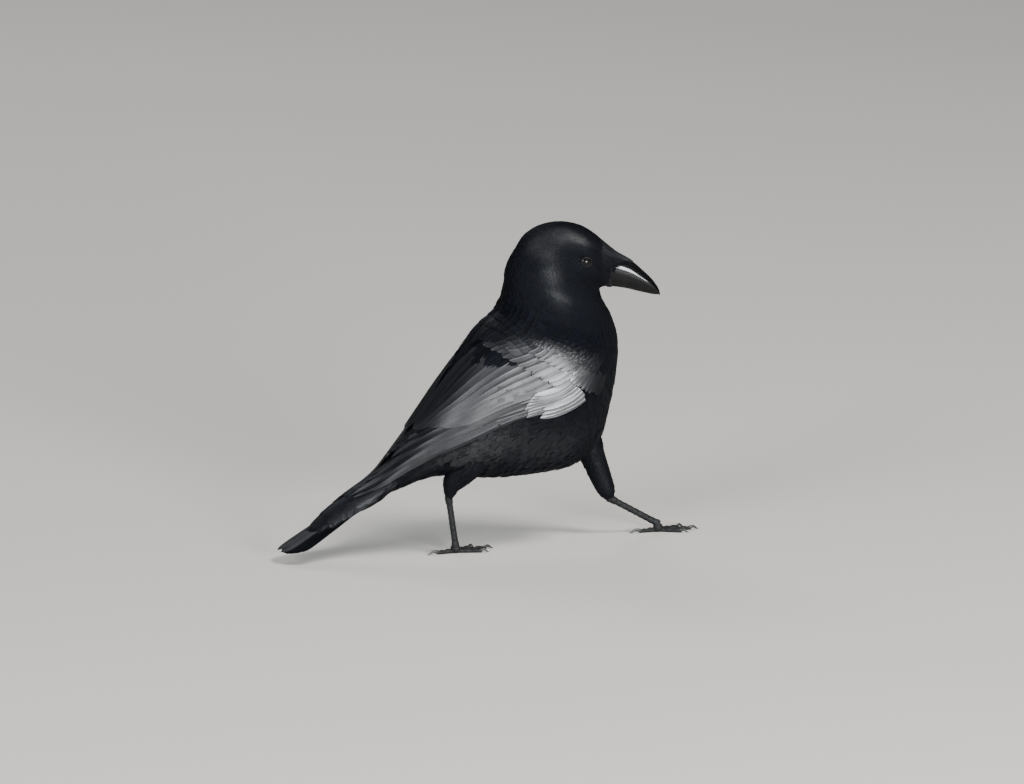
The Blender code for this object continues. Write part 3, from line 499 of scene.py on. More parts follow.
def lay_vanes(surface, vanes):
    """Points of many vanes that lie on a chart, as feather, place along, place across, and x, y, z.

    Each spine is a line of places on the chart. A point off it is the chart's point at that
    distance across, raised by the lift, the tilt times the distance, and the section's height.
    """
    u, v, section = vanes.u, vanes.v, vanes.section
    spine, u_slope, v_slope, normal = surface.frame(u, v)
    tangent = unit(np.gradient(spine, axis=1))
    across = unit(np.cross(normal, tangent))
    step_u, step_v = surface.steps((u_slope, v_slope), across)
    offset = vanes.half_widths[..., None] * section[..., 0]
    uu, vv = u[..., None] + step_u[..., None] * offset, v[..., None] + step_v[..., None] * offset
    height = vanes.lifts[..., None] + vanes.tilt * offset + section[..., 1]
    return surface.at(uu, vv) + unit(surface.read(surface.normals, uu, vv)) * height[..., None]


def vane_faces(count, along, around):
    """Faces of many closed vanes: quads round each span, and one face across each end."""
    caps = np.stack([np.arange(around), (along - 1) * around + np.arange(around)[::-1]])
    first = np.arange(count)[:, None, None] * along * around
    return [(first + band_faces(along, around)).reshape(-1, 4), (first + caps).reshape(-1, around)]


# The share of the bake map that each chart takes: low u, low v, width and height.
BAKE_ROOM = {
    "trunk": (0.02, 0.02, 0.58, 0.96),
    "rump": (0.64, 0.02, 0.15, 0.46),
    "tail": (0.82, 0.02, 0.15, 0.46),
    "left": (0.64, 0.52, 0.15, 0.2),
    "right": (0.64, 0.76, 0.15, 0.2),
    "upper": (0.82, 0.52, 0.15, 0.2),
    "lower": (0.82, 0.76, 0.15, 0.2),
}
TUFT_PATCH = 0.003


def bake_places(surface, room, u, v, across, along):
    """Each vane's patch at its root's place on the unwrapped chart."""
    low_u, low_v, width, height = BAKE_ROOM[room]
    span = surface.step * (np.array(surface.points.shape[:2]) - 1)
    x = low_u + width * np.clip((u[:, 0] - surface.low[0]) / span[0], 0, 1)
    y = low_v + height * np.clip((v[:, 0] - surface.low[1]) / span[1], 0, 1)
    x = x[:, None, None] + TUFT_PATCH * 0.5 * across
    return np.stack([x, y[:, None, None] + TUFT_PATCH * (along - 0.5)], -1)


def settle(piece, slot, *nodes):
    """Rides the piece on the body and hides the nodes that it stands for. The slot is not used."""
    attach(piece, BODY)
    if nodes:
        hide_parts(*nodes)


def vane_piece(name, surface, room, kinds, material, chance, *nodes):
    """One piece of plumage from kinds of vanes, with the fields and bake places of its points."""
    made, quads, caps = [], [], []
    first = 0
    for vanes in kinds:
        placed = lay_vanes(surface, vanes)
        count, along, around = placed.shape[:3]
        across = np.broadcast_to(vanes.section[..., 0], (count, along, around))
        t = np.broadcast_to(vanes.steps[None, :, None], across.shape)
        length = np.linalg.norm(np.diff(placed[:, :, 0], axis=1), axis=-1).sum(1)[:, None, None]
        width = vanes.half_widths[..., None] * (across - vanes.shaft)
        stray = np.broadcast_to(chance.uniform(0, 1, (count, 1, 1)), across.shape)
        gloss = np.broadcast_to(np.reshape(vanes.gloss, (-1, 1, 1)), across.shape)
        bake = bake_places(surface, room, vanes.u, vanes.v, across, t)
        field = np.stack([width, length * t, stray], -1)
        made.append((placed.reshape(-1, 3), field.reshape(-1, 3), gloss.ravel(), bake.reshape(-1, 2)))
        spans, ends = vane_faces(count, along, around)
        quads.append(spans + first)
        caps.append(ends + first)
        first += count * along * around
    points, fields, gloss, bake = (np.concatenate(part) for part in zip(*made))
    faces = [np.concatenate(quads), *caps]
    piece = put_mesh(name, points, faces, material, {"vane": fields, "gloss": gloss}, bake)
    settle(piece, "plumage", *nodes)


class Wire:
    """A shader value that can be used in sums."""

    def __init__(self, paint, socket):
        self.paint = paint
        self.socket = socket

    def sum(self, operation, first, second=0.0):
        return self.paint.node("ShaderNodeMath", {"operation": operation}, {0: first, 1: second})

    def __add__(self, other):
        return self.sum("ADD", self, other)

    __radd__ = __add__

    def __sub__(self, other):
        return self.sum("SUBTRACT", self, other)

    def __rsub__(self, other):
        return self.sum("SUBTRACT", other, self)

    def __mul__(self, other):
        return self.sum("MULTIPLY", self, other)

    __rmul__ = __mul__

    def __abs__(self):
        return self.sum("ABSOLUTE", self)

    def wave(self):
        return self.sum("SINE", self)


class Paint:
    """A material and its nodes, made one at a time."""

    def __init__(self, name, colour, roughness, **sockets):
        self.material = bpy.data.materials.new(name)
        self.material.use_nodes = True
        self.material.diffuse_color = (*colour, 1)
        self.tree = self.material.node_tree
        self.shader = self.tree.nodes["Principled BSDF"]
        self.set("Base Color", (*colour, 1))
        self.set("Roughness", roughness)
        for key, value in sockets.items():
            self.set(key.replace("_", " "), value)

    def feed(self, socket, value):
        if isinstance(value, Wire):
            self.tree.links.new(value.socket, socket)
        else:
            socket.default_value = value

    def set(self, key, value):
        self.feed(self.shader.inputs[key], value)

    def node(self, kind, settings=None, inputs=None, output=0):
        made = self.tree.nodes.new(kind)
        for key, value in (settings or {}).items():
            setattr(made, key, value)
        for key, value in (inputs or {}).items():
            self.feed(made.inputs[key], value)
        return Wire(self, made.outputs[output])

    def ramp(self, value, low, high, start, end):
        """A value carried from one range to another, and held at its ends."""
        inputs = {0: value, 1: low, 2: high, 3: start, 4: end}
        return self.node("ShaderNodeMapRange", {}, inputs)

    def mix(self, share, first, second):
        first, second = (c if isinstance(c, Wire) else (*c, 1) for c in (first, second))
        return self.node("ShaderNodeMix", {"data_type": "RGBA"}, {0: share, 6: first, 7: second}, 2)

    def field(self, name):
        """The three numbers of a mesh field."""
        whole = self.node("ShaderNodeAttribute", {"attribute_name": name}, {}, 1)
        parts = self.node("ShaderNodeSeparateXYZ", {}, {0: whole})
        return [Wire(self, output) for output in parts.socket.node.outputs]

    def number(self, name):
        """A mesh field of one number."""
        return self.node("ShaderNodeAttribute", {"attribute_name": name}, {}, 2)

    def place(self, stretch=(1, 1, 1)):
        at = self.node("ShaderNodeTexCoord", {}, {}, "Object")
        return self.node("ShaderNodeMapping", {}, {"Vector": at, "Scale": stretch})

    def noise(self, scale, detail=3.0, stretch=(1, 1, 1)):
        inputs = {"Vector": self.place(stretch), "Scale": scale, "Detail": detail}
        return self.node("ShaderNodeTexNoise", {}, inputs)

    def bump(self, height, distance, strength=1.0):
        inputs = {"Height": height, "Distance": distance, "Strength": strength}
        self.set("Normal", self.node("ShaderNodeBump", {}, inputs))


def feather_paint(name, settings, barb_pitch, roughness):
    """Black vanes: barbs slanting off the shaft, matt below, with a gloss that the mesh gives."""
    tint = (*settings.gloss_tint, 1)
    sockets = {"Specular_Tint": tint, "Coat_Tint": tint, "Coat_IOR": settings.gloss_ior, "IOR": 1.5}
    sockets |= {"Specular_IOR_Level": settings.matt_shine, "Coat_Roughness": settings.gloss_roughness}
    paint = Paint(name, settings.colour, roughness, **sockets)
    across, along, stray = paint.field("vane")
    barb = ((along - abs(across) * 1.3) * (2 * math.pi / barb_pitch) + stray * 9.0).wave()
    shaft = paint.ramp(abs(across), 0.1, 0.45, 1.0, 0.0)
    patch = paint.noise(60.0)
    tone = paint.mix(stray * 0.6 + patch * 0.5 - 0.15, settings.colour, settings.blue)
    paint.set("Base Color", paint.mix(shaft * 0.5, tone, settings.shaft_colour))
    fine = paint.noise(900.0, 2.0)
    uneven = patch + stray * 0.4 + barb * 0.05
    paint.set("Roughness", paint.ramp(uneven, 0.3, 1.2, roughness, roughness + 0.14))
    paint.set("Coat Weight", paint.number("gloss") * paint.ramp(patch + stray * 0.3, 0.3, 0.9, 0.6, 1.0))
    paint.bump(barb * 0.4 + shaft * 1.2 + fine * 0.6, 0.0001, 0.7)
    return paint.material


def shade(name, description, default):
    return FloatVectorProperty(name=name, description=description, subtype="COLOR", default=default)


def amount(name, description, default, **limits):
    return FloatProperty(name=name, description=description, default=default, **limits)


class CrowPlumage(bpy.types.PropertyGroup):
    seed: IntProperty(name="Seed", description="Start of every random draw in the coat", default=7)
    density: amount("Density", "How close the body feathers stand", 1.0, min=0.3)
    colour: shade("Black", "Colour of most feathers", (0.0018, 0.0019, 0.0024))
    blue: shade("Blue black", "Colour towards the feathers' blue", (0.0022, 0.0028, 0.006))
    shaft_colour: shade("Shaft", "Colour of the shafts", (0.007, 0.007, 0.008))
    gloss_tint: shade("Gloss tint", "Tint of the gloss", (0.78, 0.87, 1.0))
    matt_shine: amount("Matt shine", "Reflection of feathers without gloss", 0.045)
    body_roughness: amount("Body roughness", "Roughness of the small feathers", 0.5)
    flight_roughness: amount("Flight roughness", "Roughness of the flight feathers", 0.42)
    gloss_roughness: amount("Gloss roughness", "Roughness of the gloss", 0.45)
    gloss_ior: amount("Gloss strength", "Refraction of the glossy film", 2.2)


class CrowHead(bpy.types.PropertyGroup):
    horn: shade("Horn", "Colour of bill and claws", (0.002, 0.002, 0.0023))
    worn: shade("Worn horn", "Colour of rubbed edges", (0.0045, 0.0044, 0.0045))
    horn_roughness: amount("Horn roughness", "Roughness of the bill", 0.2)
    iris: shade("Iris", "Colour of the iris", (0.004, 0.002, 0.001))
    lid_radius: amount("Lid radius", "Radius of the lids' rim", 4.6 * MM, unit="LENGTH")
    lid_thickness: amount("Lid thickness", "Half thickness of the rim", 0.75 * MM, unit="LENGTH")


class CrowLegs(bpy.types.PropertyGroup):
    skin: shade("Leg skin", "Colour of the bare legs", (0.0055, 0.0058, 0.006))
    pale: shade("Scute edge", "Colour of the plates' edges", (0.015, 0.0153, 0.016))
    voxel: amount("Fineness", "Size of the leg mesh's cells", 0.36 * MM, unit="LENGTH", precision=5)


class CrowStage(bpy.types.PropertyGroup):
    floor: shade("Floor", "Colour of the floor", (0.62, 0.6, 0.56))
    azimuth: amount("Azimuth", "The camera's turn round the bird", math.radians(-18), subtype="ANGLE")
    elevation: amount("Elevation", "The camera's height angle", math.radians(12), subtype="ANGLE")
    distance: amount("Distance", "From the camera to the bird", 12.0, unit="LENGTH")
    width: amount("View width", "Width of the view at the bird", 0.9216, unit="LENGTH")
    target: FloatVectorProperty(
        name="Target",
        description="Middle of the view",
        subtype="TRANSLATION",
        default=(0.02499, 0.02247, 0.1369),
    )


CHARTS = {}


def chart(name):
    """The named chart, made when it is first asked for."""
    if name not in CHARTS:
        makers = {
            "trunk": make_trunk_chart,
            "rump": make_rump_chart,
            "tail": make_tail_chart,
            "left": lambda: shank_chart(SHANK_LEFT),
            "right": lambda: shank_chart(SHANK_RIGHT),
        }
        CHARTS[name] = makers[name]()
    return CHARTS[name]


def applied(piece, kind, **settings):
    """Gives the piece the mesh that one modifier makes of it."""
    modifier = piece.modifiers.new("shape", kind)
    for key, value in settings.items():
        setattr(modifier, key, value)
    graph = bpy.context.evaluated_depsgraph_get()
    piece.data = bpy.data.meshes.new_from_object(piece.evaluated_get(graph), depsgraph=graph)
    piece.modifiers.remove(modifier)


def join(piece, others):
    """Makes the others one closed body with the piece, by one Boolean."""
    group = bpy.data.collections.new("joined")
    bpy.context.scene.collection.children.link(group)
    for other in others:
        bpy.context.scene.collection.objects.unlink(other)
        group.objects.link(other)
    applied(piece, "BOOLEAN", operation="UNION", operand_type="COLLECTION", collection=group, solver="EXACT")
    for other in others:
        bpy.data.objects.remove(other)
    bpy.data.collections.remove(group)


def skin_paint(settings):
    """Dark skin under the coat, a little wrinkled."""
    paint = Paint("skin", settings.colour, 0.55, Specular_IOR_Level=0.15)
    patch = paint.noise(220.0)
    paint.set("Base Color", paint.mix(patch, settings.colour, settings.blue))
    paint.set("Roughness", paint.ramp(patch, 0.3, 0.7, 0.5, 0.65))
    paint.bump(paint.noise(1800.0), 0.0002)
    return paint.material


class CROW_OT_skin(bpy.types.Operator):
    """Skin under the coat: trunk, neck, head, shanks and rump in one closed surface"""

    bl_idname = "crow.skin"
    bl_label = "Skin"

    def execute(self, context):
        material = skin_paint(context.scene.crow_plumage)
        angle = np.radians(np.linspace(0, 360, SKIN_AROUND, endpoint=False) - 180)
        rings = np.concatenate([np.linspace(3.0, 15.8, 64), np.linspace(16.0, LAST_RING - 0.02, 84)])
        ring = np.broadcast_to(rings[:, None], (len(rings), SKIN_AROUND))
        depth = coat_at(ring)[4] + SKIN_GAP
        skin = loft("skin", chart("trunk").sunk(rings, angle, depth), material)
        rump = chart("rump").sunk(np.linspace(0.4, 7.4, 38), angle[::2], RUMP_COAT)
        extra = [loft("rump", rump, material, flip=True)]
        for points, *_ in LEGS.values():
            path = smooth_path(points, 36)
            rings = tube_rings(path[:, :3], path[:, 3] - SHANK_COAT, path[:, 4] - SHANK_COAT, angle[::2])
            extra.append(loft("shank", rings, material, flip=True))
        join(skin, extra)
        settle(skin, "plumage", "torso", "neck", "head", "shank_left", "shank_right")
        return {"FINISHED"}


def covered(ring, angle):
    """Where the folded wing hides the body: some degrees inside its upper and lower edge."""
    rings, tops, bottoms = np.array(WING_EDGES)[::-1].T
    side = np.abs(np.degrees(angle))
    inside = (side > np.interp(ring, rings, tops) + 8) & (side < np.interp(ring, rings, bottoms) + 1.5)
    return inside & (ring < rings[-1]) & (ring > rings[0])


def tract(surface, u_range, spacing, density):
    """Feather roots in staggered rows: rows as far apart along the lie, and roots across it, as told.

    Rows are lines of equal count along the lie, and roots are places of equal count along a
    row, where the count is the length travelled over the spacing there.
    """
    u = np.linspace(u_range[0], u_range[1], 260)
    v = np.radians(np.linspace(-180, 180, 181))
    uu, vv = np.meshgrid(u, v, indexing="ij")
    points = surface.at(uu, vv)
    along = spacing(uu[1:])[0]
    travelled = np.linalg.norm(np.diff(points, axis=0), axis=-1) / along * density
    count = np.concatenate([np.zeros((1, len(v))), np.cumsum(travelled, axis=0)])
    rows = np.arange(0.3, count.max())
    places = np.array([np.interp(rows, count[:, k], u, right=np.nan) for k in range(len(v))]).T
    found = []
    middle = len(v) // 2
    for number, row in enumerate(places):
        for half, first in ((slice(middle, None), 0.0), (slice(middle, None, -1), 1.0)):
            row_u, row_v = row[half], v[half]
            known = ~np.isnan(row_u)
            if known.sum() < 3:
                continue
            row_u, row_v = row_u[known], row_v[known]
            line = surface.at(row_u, row_v)
            gaps = np.linalg.norm(np.diff(line, axis=0), axis=-1) / spacing(row_u[1:])[1] * density
            total = np.concatenate([[0], np.cumsum(gaps)])
            marks = np.arange(0.5 if number % 2 else first, total[-1])
            found.append(np.column_stack([np.interp(marks, total, row_u), np.interp(marks, total, row_v)]))
    found = np.concatenate(found)
    return found[:, 0], found[:, 1]


# How far apart the rows and the roots stand at a place of a chart.
SPACINGS = {
    "trunk": lambda ring: coat_at(ring)[2:4],
    "rump": lambda place: (8 + 0 * place, 7 + 0 * place),
    "shank": lambda place: (2.8 - 1.4 * place, 2.8 - 1.5 * place),
}


def grow(surface, u, v, lengths, yaw, steps, forward):
    """Spines from roots, straight over the surface along the lie turned by the yaw."""
    _, u_slope, v_slope, normal = surface.frame(u, v)
    lie = unit(u_slope) * forward
    across = unit(np.cross(normal, lie))
    direction = lie * np.cos(yaw)[:, None] + across * np.sin(yaw)[:, None]
    step_u, step_v = surface.steps((u_slope, v_slope), direction)
    run = lengths[:, None] * steps[None]
    return u[:, None] + step_u[:, None] * run, v[:, None] + step_v[:, None] * run


# Pieces of the coat of the trunk and the ring that each starts at.
BODY_PIECES = (("tail_end", 0), ("belly", 6.6), ("breast", 9.6), ("shoulder", 12), ("neck", 14.2))
BODY_PIECES += (("nape", 17.2), ("face", 20.5), ("end", LAST_RING + 1))
BODY_STEPS = np.array([0, 0.3, 0.58, 0.8, 0.93, 1.0])
ROUND_TIP = (0.45, 0.5, 0.14)
WISP_TIP = (0.6, 0.3, 0.1)
# The bare place round the eye. Loose wisps stand on the sides and the belly below a ring, with these
# shares of a feather's length, half width, depth and unrest.
BARE_EYE = 5.4
FLUFF_END = 17
FLUFF_SIDE = 0.9
FLUFF_SHARES = (0.95, 0.28, 0.9, 1.1)
RUMP_FEATHER = (32.0, 6.0, 2.0, 0.4)


def body_vanes(surface, u, v, sizes, chance, forward, tip=ROUND_TIP, camber=0.1, gloss=DOWN_GLOSS):
    """Small feathers of one kind, each a little off its neighbours in length, turn and lift."""
    length, half_width, depth, unrest = sizes
    noise = chance.normal(0, 1, (4, len(u)))
    length = length * (1 + 0.1 * noise[0])
    turn = np.radians(4 + 9 * unrest) * noise[1]
    uu, vv = grow(surface, u, v, length, turn, BODY_STEPS, forward)
    width = (half_width * (1 + 0.1 * noise[2]))[:, None] * tip_shape(BODY_STEPS, *tip)[None]
    rise = (1 + 0.3 * unrest * np.abs(noise[3]))[:, None] * BODY_STEPS[None] ** 1.1
    section = np.zeros((len(u), len(BODY_STEPS), 4, 2))
    section[...] = vane_section(0, 0.16, 1.0, 4)
    section[..., 1] *= np.minimum(camber * width, 0.8)[..., None]
    section[..., 3, 1] = section[..., 1, 1] - 0.14
    lifts = -depth[:, None] * (1 - rise) - 0.1
    return Vanes(uu, vv, width, lifts, section, BODY_STEPS, gloss)


class CROW_OT_body_feathers(bpy.types.Operator):
    """Small feathers of head, neck, trunk, rump and shanks"""

    bl_idname = "crow.body_feathers"
    bl_label = "Body feathers"

    def execute(self, context):
        settings = context.scene.crow_plumage
        chance = np.random.default_rng(settings.seed)
        material = feather_paint("small_feathers", settings, 0.5, settings.body_roughness)
        trunk, rump = chart("trunk"), chart("rump")
        u, v = tract(trunk, (LAST_RING - 0.12, TAIL_RING), SPACINGS["trunk"], settings.density)
        ring_gap = np.linalg.norm(trunk.frame(u, v)[1], axis=1)
        u = u + chance.normal(0, 1, len(u)) * 0.25 * coat_at(u)[2] / ring_gap
        v = v + chance.normal(0, 0.01, len(v))
        keep = ~covered(u, v)
        for side in (-1, 1):
            eye = trunk.at(np.array(EYE_RING), np.array(side * EYE_ANGLE))
            keep &= np.linalg.norm(trunk.at(u, v) - eye, axis=1) > BARE_EYE
        u, v = u[keep], v[keep]
        for (name, low), (_, high) in zip(BODY_PIECES, BODY_PIECES[1:]):
            chosen = (u >= low) & (u < high)
            at, around = u[chosen], v[chosen]
            length, half_width, _, _, depth, unrest = coat_at(at)
            sizes = (length, half_width, depth, unrest)
            kinds = [body_vanes(trunk, at, around, sizes, chance, -1, gloss=gloss_at(at, around))]
            fluffy = np.repeat(np.flatnonzero((at < FLUFF_END) & (np.abs(around) > FLUFF_SIDE)), 2)
            at = at[fluffy] + chance.normal(0, 0.1, len(fluffy))
            around = around[fluffy] + chance.normal(0, 0.05, len(fluffy))
            sizes = tuple((share * size)[fluffy] for share, size in zip(FLUFF_SHARES, sizes))
            gloss = gloss_at(at, around)
            kinds.append(body_vanes(trunk, at, around, sizes, chance, -1, WISP_TIP, 0.3, gloss))
            vane_piece("feathers_" + name, trunk, "trunk", kinds, material, chance)
        u, v = tract(rump, (0.2, 7.2), SPACINGS["rump"], settings.density)
        sizes = tuple(np.full(len(u), value) for value in RUMP_FEATHER)
        vanes = body_vanes(rump, u, v, sizes, chance, 1, gloss=RUMP_GLOSS)
        vane_piece("feathers_rump", rump, "rump", [vanes], material, chance)
        for side in LEGS:
            u, v = tract(chart(side), (0.1, 0.93), SPACINGS["shank"], settings.density)
            sizes = (13 - 7 * u, 2.2 - 1.3 * u, 1.6 - 0.9 * u, 0.8 + 0 * u)
            vanes = body_vanes(chart(side), u, v, sizes, chance, 1, WISP_TIP, 0.2)
            vane_piece("feathers_shank_" + side, chart(side), side, [vanes], material, chance)
        return {"FINISHED"}


FLIGHT_STEPS = np.array([0, 0.12, 0.25, 0.38, 0.5, 0.61, 0.71, 0.8, 0.87, 0.93, 0.97, 1.0])
VANE_THICKNESS = 0.18


def spine_curve(lines, steps):
    """Places along curves through root, middle and tip: the quadratic that meets all three."""
    t = np.asarray(steps)
    weights = np.stack([(1 - t) * (1 - 2 * t), 4 * t * (1 - t), t * (2 * t - 1)], 1)
    return np.einsum("sk,nkc->nsc", weights, lines)


def row_vanes(lines, half_widths, lifts, side, tilt, shaft, gloss, tip, rise, steps=FLIGHT_STEPS):
    """Large vanes from their lines on the trunk, for one side of the bird."""
    places = spine_curve(lines, steps)
    widths = np.asarray(half_widths)[:, None] * tip_shape(steps, *tip)[None]
    heights = lifts[:, :1] + (lifts[:, 1:] - lifts[:, :1]) * ease(steps / rise)[None]
    section = vane_section(-side * shaft, VANE_THICKNESS, 0.5 * VANE_THICKNESS, 10)
    u, v = places[..., 0], side * np.radians(places[..., 1])
    heights += RIGHT_LIFT * (side < 0)
    return Vanes(u, v, widths, heights, section, steps, gloss, -side * tilt, -side * shaft)


def wing_row(row, side, chance):
    """A row of the table, each feather a little off its place."""
    count, *lines, half_widths, lifts, tip, rise, tilt, gloss, shaft = row
    roots, middles, tips = (smooth_path(line, count) for line in lines)
    stray = chance.uniform(-1, 1, (count, 3))
    tips = tips + stray[:, :2] * [0.07, 0.6] - [FAR_REACH * (side > 0) * (rise < 1), 0]
    widths = np.linspace(*half_widths, count) * (1 + 0.03 * stray[:, 2])
    gloss = np.interp(np.linspace(0, 1, count), np.linspace(0, 1, len(gloss)), gloss)
    lines = np.stack([roots, middles, tips], 1)
    return row_vanes(lines, widths, np.linspace(*lifts, count), side, tilt, shaft, gloss, tip, rise)


def lesser_rows(side, chance):
    """Small coverts in staggered rows from over the median ones to the arm's front edge."""
    kinds = []
    for number in range(LESSER_ROWS):
        front = number / (LESSER_ROWS - 1)
        places = np.linspace(0, 1, LESSER_COUNT) * 0.95 + (0.05 if number % 2 else 0.0)
        root, tip = (
            smooth_rows(np.array(back) * (1 - front) + np.array(fore) * front, places * 3)
            for back, fore in zip(LESSER_BACK, LESSER_FRONT)
        )
        stray = chance.normal(0, 1, (LESSER_COUNT, 3))
        tip = tip + stray[:, :2] * [0.04, 0.7]
        widths = (4.2 - 1.3 * front) * (1 + 0.06 * stray[:, 2])
        lifts = np.tile([-0.3, 0.9 - 0.5 * front], (LESSER_COUNT, 1))
        lines = np.stack([root, (root + tip) / 2, tip], 1)
        gloss = 0.75 * (1 - ease((front + 0.3 * places) / 0.75)) * (1 - 0.7 * places)
        gloss *= 0.35 + 0.65 * ease(places / 0.25)
        shape = (0.5, 0.55, 0.2)
        kinds.append(row_vanes(lines, widths, lifts, side, 0.04, 0.0, gloss, shape, 1.0, BODY_STEPS))
    return kinds


def scapular_rows(side, chance):
    """Rows of scapulars over the wing's root, the foremost on top."""
    kinds = []
    for number, (roots, tips, lifts, half_width, gloss) in enumerate(SCAPULAR_ROWS):
        stray = chance.uniform(-1, 1, (SCAPULAR_COUNT, 2))
        root = smooth_path(roots, SCAPULAR_COUNT)
        tip = smooth_path(tips, SCAPULAR_COUNT) + stray * [0.1, 1.0]
        lines = np.stack([root, (root + tip) / 2 + [0.03, 0.6], tip], 1)
        heights = np.linspace(lifts, (-0.5, 0.7), SCAPULAR_COUNT)
        widths = np.full(SCAPULAR_COUNT, half_width)
        shares = 0.08 - 0.018 * number + gloss * ease(1 - np.arange(SCAPULAR_COUNT) / 4)
        kinds.append(row_vanes(lines, widths, heights, side, 0.06, 0.0, shares, (0.5, 0.62, 0.14), 1.0))
    return kinds


class CROW_OT_wing_feathers(bpy.types.Operator):
    """Flight feathers, coverts and scapulars of both folded wings"""

    bl_idname = "crow.wing_feathers"
    bl_label = "Wing feathers"

    def execute(self, context):
        settings = context.scene.crow_plumage
        material = feather_paint("flight_feathers", settings, 0.6, settings.flight_roughness)
        for label, side in SIDES:
            chance = np.random.default_rng(settings.seed + WING_SEED + side)
            kinds = [wing_row(row, side, chance) for row in WING_ROWS]
            kinds += lesser_rows(side, chance) + scapular_rows(side, chance)
            name = "wing_feathers_" + label
            vane_piece(name, chart("trunk"), "trunk", kinds, material, chance, "wing_" + label)
        return {"FINISHED"}


class CROW_OT_tail_feathers(bpy.types.Operator):
    """Twelve tail feathers, folded in a narrow fan"""

    bl_idname = "crow.tail_feathers"
    bl_label = "Tail feathers"

    def execute(self, context):
        settings = context.scene.crow_plumage
        material = bpy.data.materials["flight_feathers"]
        chance = np.random.default_rng(settings.seed + TAIL_SEED)
        order = np.repeat(np.arange(TAIL_PAIRS), 2)
        side = np.tile([-1.0, 1.0], TAIL_PAIRS)
        share = order / (TAIL_PAIRS - 1)
        steps = FLIGHT_STEPS
        length = TAIL_LENGTH - 13.0 * share**2 + chance.uniform(-1, 1, len(order))
        u = 16 + (length[:, None] - 16) * steps[None]
        root, tip = 3.0 + 5.0 * share, 4.5 + 10.2 * share**0.95
        v = side[:, None] * (root[:, None] + (tip - root)[:, None] * steps[None] ** 0.8)
        widths = (8.6 - 0.8 * share)[:, None] * tip_shape(steps, 0.75, 0.86, 0.16)[None]
        lifts = 2.6 - 0.95 * (order + 0.5 * (side < 0))[:, None] + 0 * steps[None]
        section = np.array([vane_section(shaft, 0.32, 0.35, 10) for shaft in -side * (0.15 + 0.4 * share)])
        vanes = Vanes(u, v, widths, lifts, section[:, None], steps, TAIL_GLOSS)
        vane_piece("tail_feathers", chart("tail"), "tail", [vanes], material, chance, "tail")
        return {"FINISHED"}


def bill_section(rows, sides, rises):
    """Bends over the bill: from the cutting edge to the ridge by the rise, and out by the side."""
    x = rows[:, 2:3] + (rows[:, 0:1] - rows[:, 2:3]) * rises
    z = rows[:, 3:4] + (rows[:, 1:2] - rows[:, 3:4]) * rises
    return turned(np.stack([x, rows[:, 4:5] * sides, z], -1), TURN_TO)


def mandible_rings(ridge, edge, half_widths, sections):
    """Half a bill: from one cutting edge over the ridge to the other by sine and cosine, hollow between."""
    rows = smooth_path(np.column_stack([ridge, edge, half_widths]), sections)
    arc = np.radians(np.linspace(0, 180, 33))
    sides = np.concatenate([np.cos(arc), [-0.9, -0.5, 0.0, 0.5, 0.9]])
    rises = np.concatenate([np.sin(arc) ** BILL_ROUNDNESS, [0.03, 0.08, 0.12, 0.08, 0.03]])
    return bill_section(rows, sides, rises)


def horn_paint(settings):
    """Black horn: fine growth lines along it, rubbed paler in noisy patches, and glossy."""
    sockets = {"Specular_IOR_Level": 0.03, "Coat_Roughness": 0.1, "Coat_Weight": 0.4}
    paint = Paint("horn", settings.horn, settings.horn_roughness, **sockets)
    grain = paint.noise(260.0, 5.0, (0.25, 1.6, 1.6))
    patch = paint.noise(90.0, 4.0)
    rubbed = paint.ramp(grain * 0.6 + patch * 0.5, 0.45, 0.85, 0.0, 1.0)
    paint.set("Base Color", paint.mix(rubbed, settings.horn, settings.worn))
    roughness = settings.horn_roughness
    paint.set("Roughness", paint.ramp(patch + grain * 0.4, 0.4, 1.0, roughness, roughness + 0.16))
    paint.bump(grain + paint.noise(1500.0, 2.0) * 0.3, 0.0002, 0.6)
    return paint.material


class CROW_OT_bill(bpy.types.Operator):
    """Upper and lower half of the bill"""

    bl_idname = "crow.bill"
    bl_label = "Bill"

    def execute(self, context):
        material = horn_paint(context.scene.crow_head)
        upper = mandible_rings(UPPER_RIDGE, UPPER_EDGE, UPPER_HALF_WIDTH, 52)
        settle(loft("bill_upper_horn", upper, material), "horn", "bill_upper")
        edge = np.array(LOWER_EDGE, float) - [0, BILL_GAP]
        lower = mandible_rings(LOWER_KEEL, edge, LOWER_HALF_WIDTH, 46)
        settle(loft("bill_lower_horn", lower, material, flip=True), "horn", "bill_lower")
        return {"FINISHED"}


def eye_paint(settings):
    """A dark brown iris with a black pupil under a clear wet front."""
    sockets = {"Specular_IOR_Level": 0.1, "Coat_Weight": 0.3, "Coat_Roughness": 0.02}
    paint = Paint("eye", settings.iris, 0.3, **sockets)
    off, turn, _ = paint.field("iris")
    streak = (turn * 46.0).wave() * 0.5 + 0.5
    iris = paint.mix(streak * 0.5, settings.iris, tuple(c * 0.45 for c in settings.iris))
    pupil = paint.ramp(off, 0.3, 0.36, 1.0, 0.0)
    rim = paint.ramp(off, 0.62, 0.72, 0.0, 1.0)
    inside = paint.mix(pupil, iris, (0.002, 0.002, 0.002))
    paint.set("Base Color", paint.mix(rim, inside, (0.004, 0.003, 0.003)))
    return paint.material


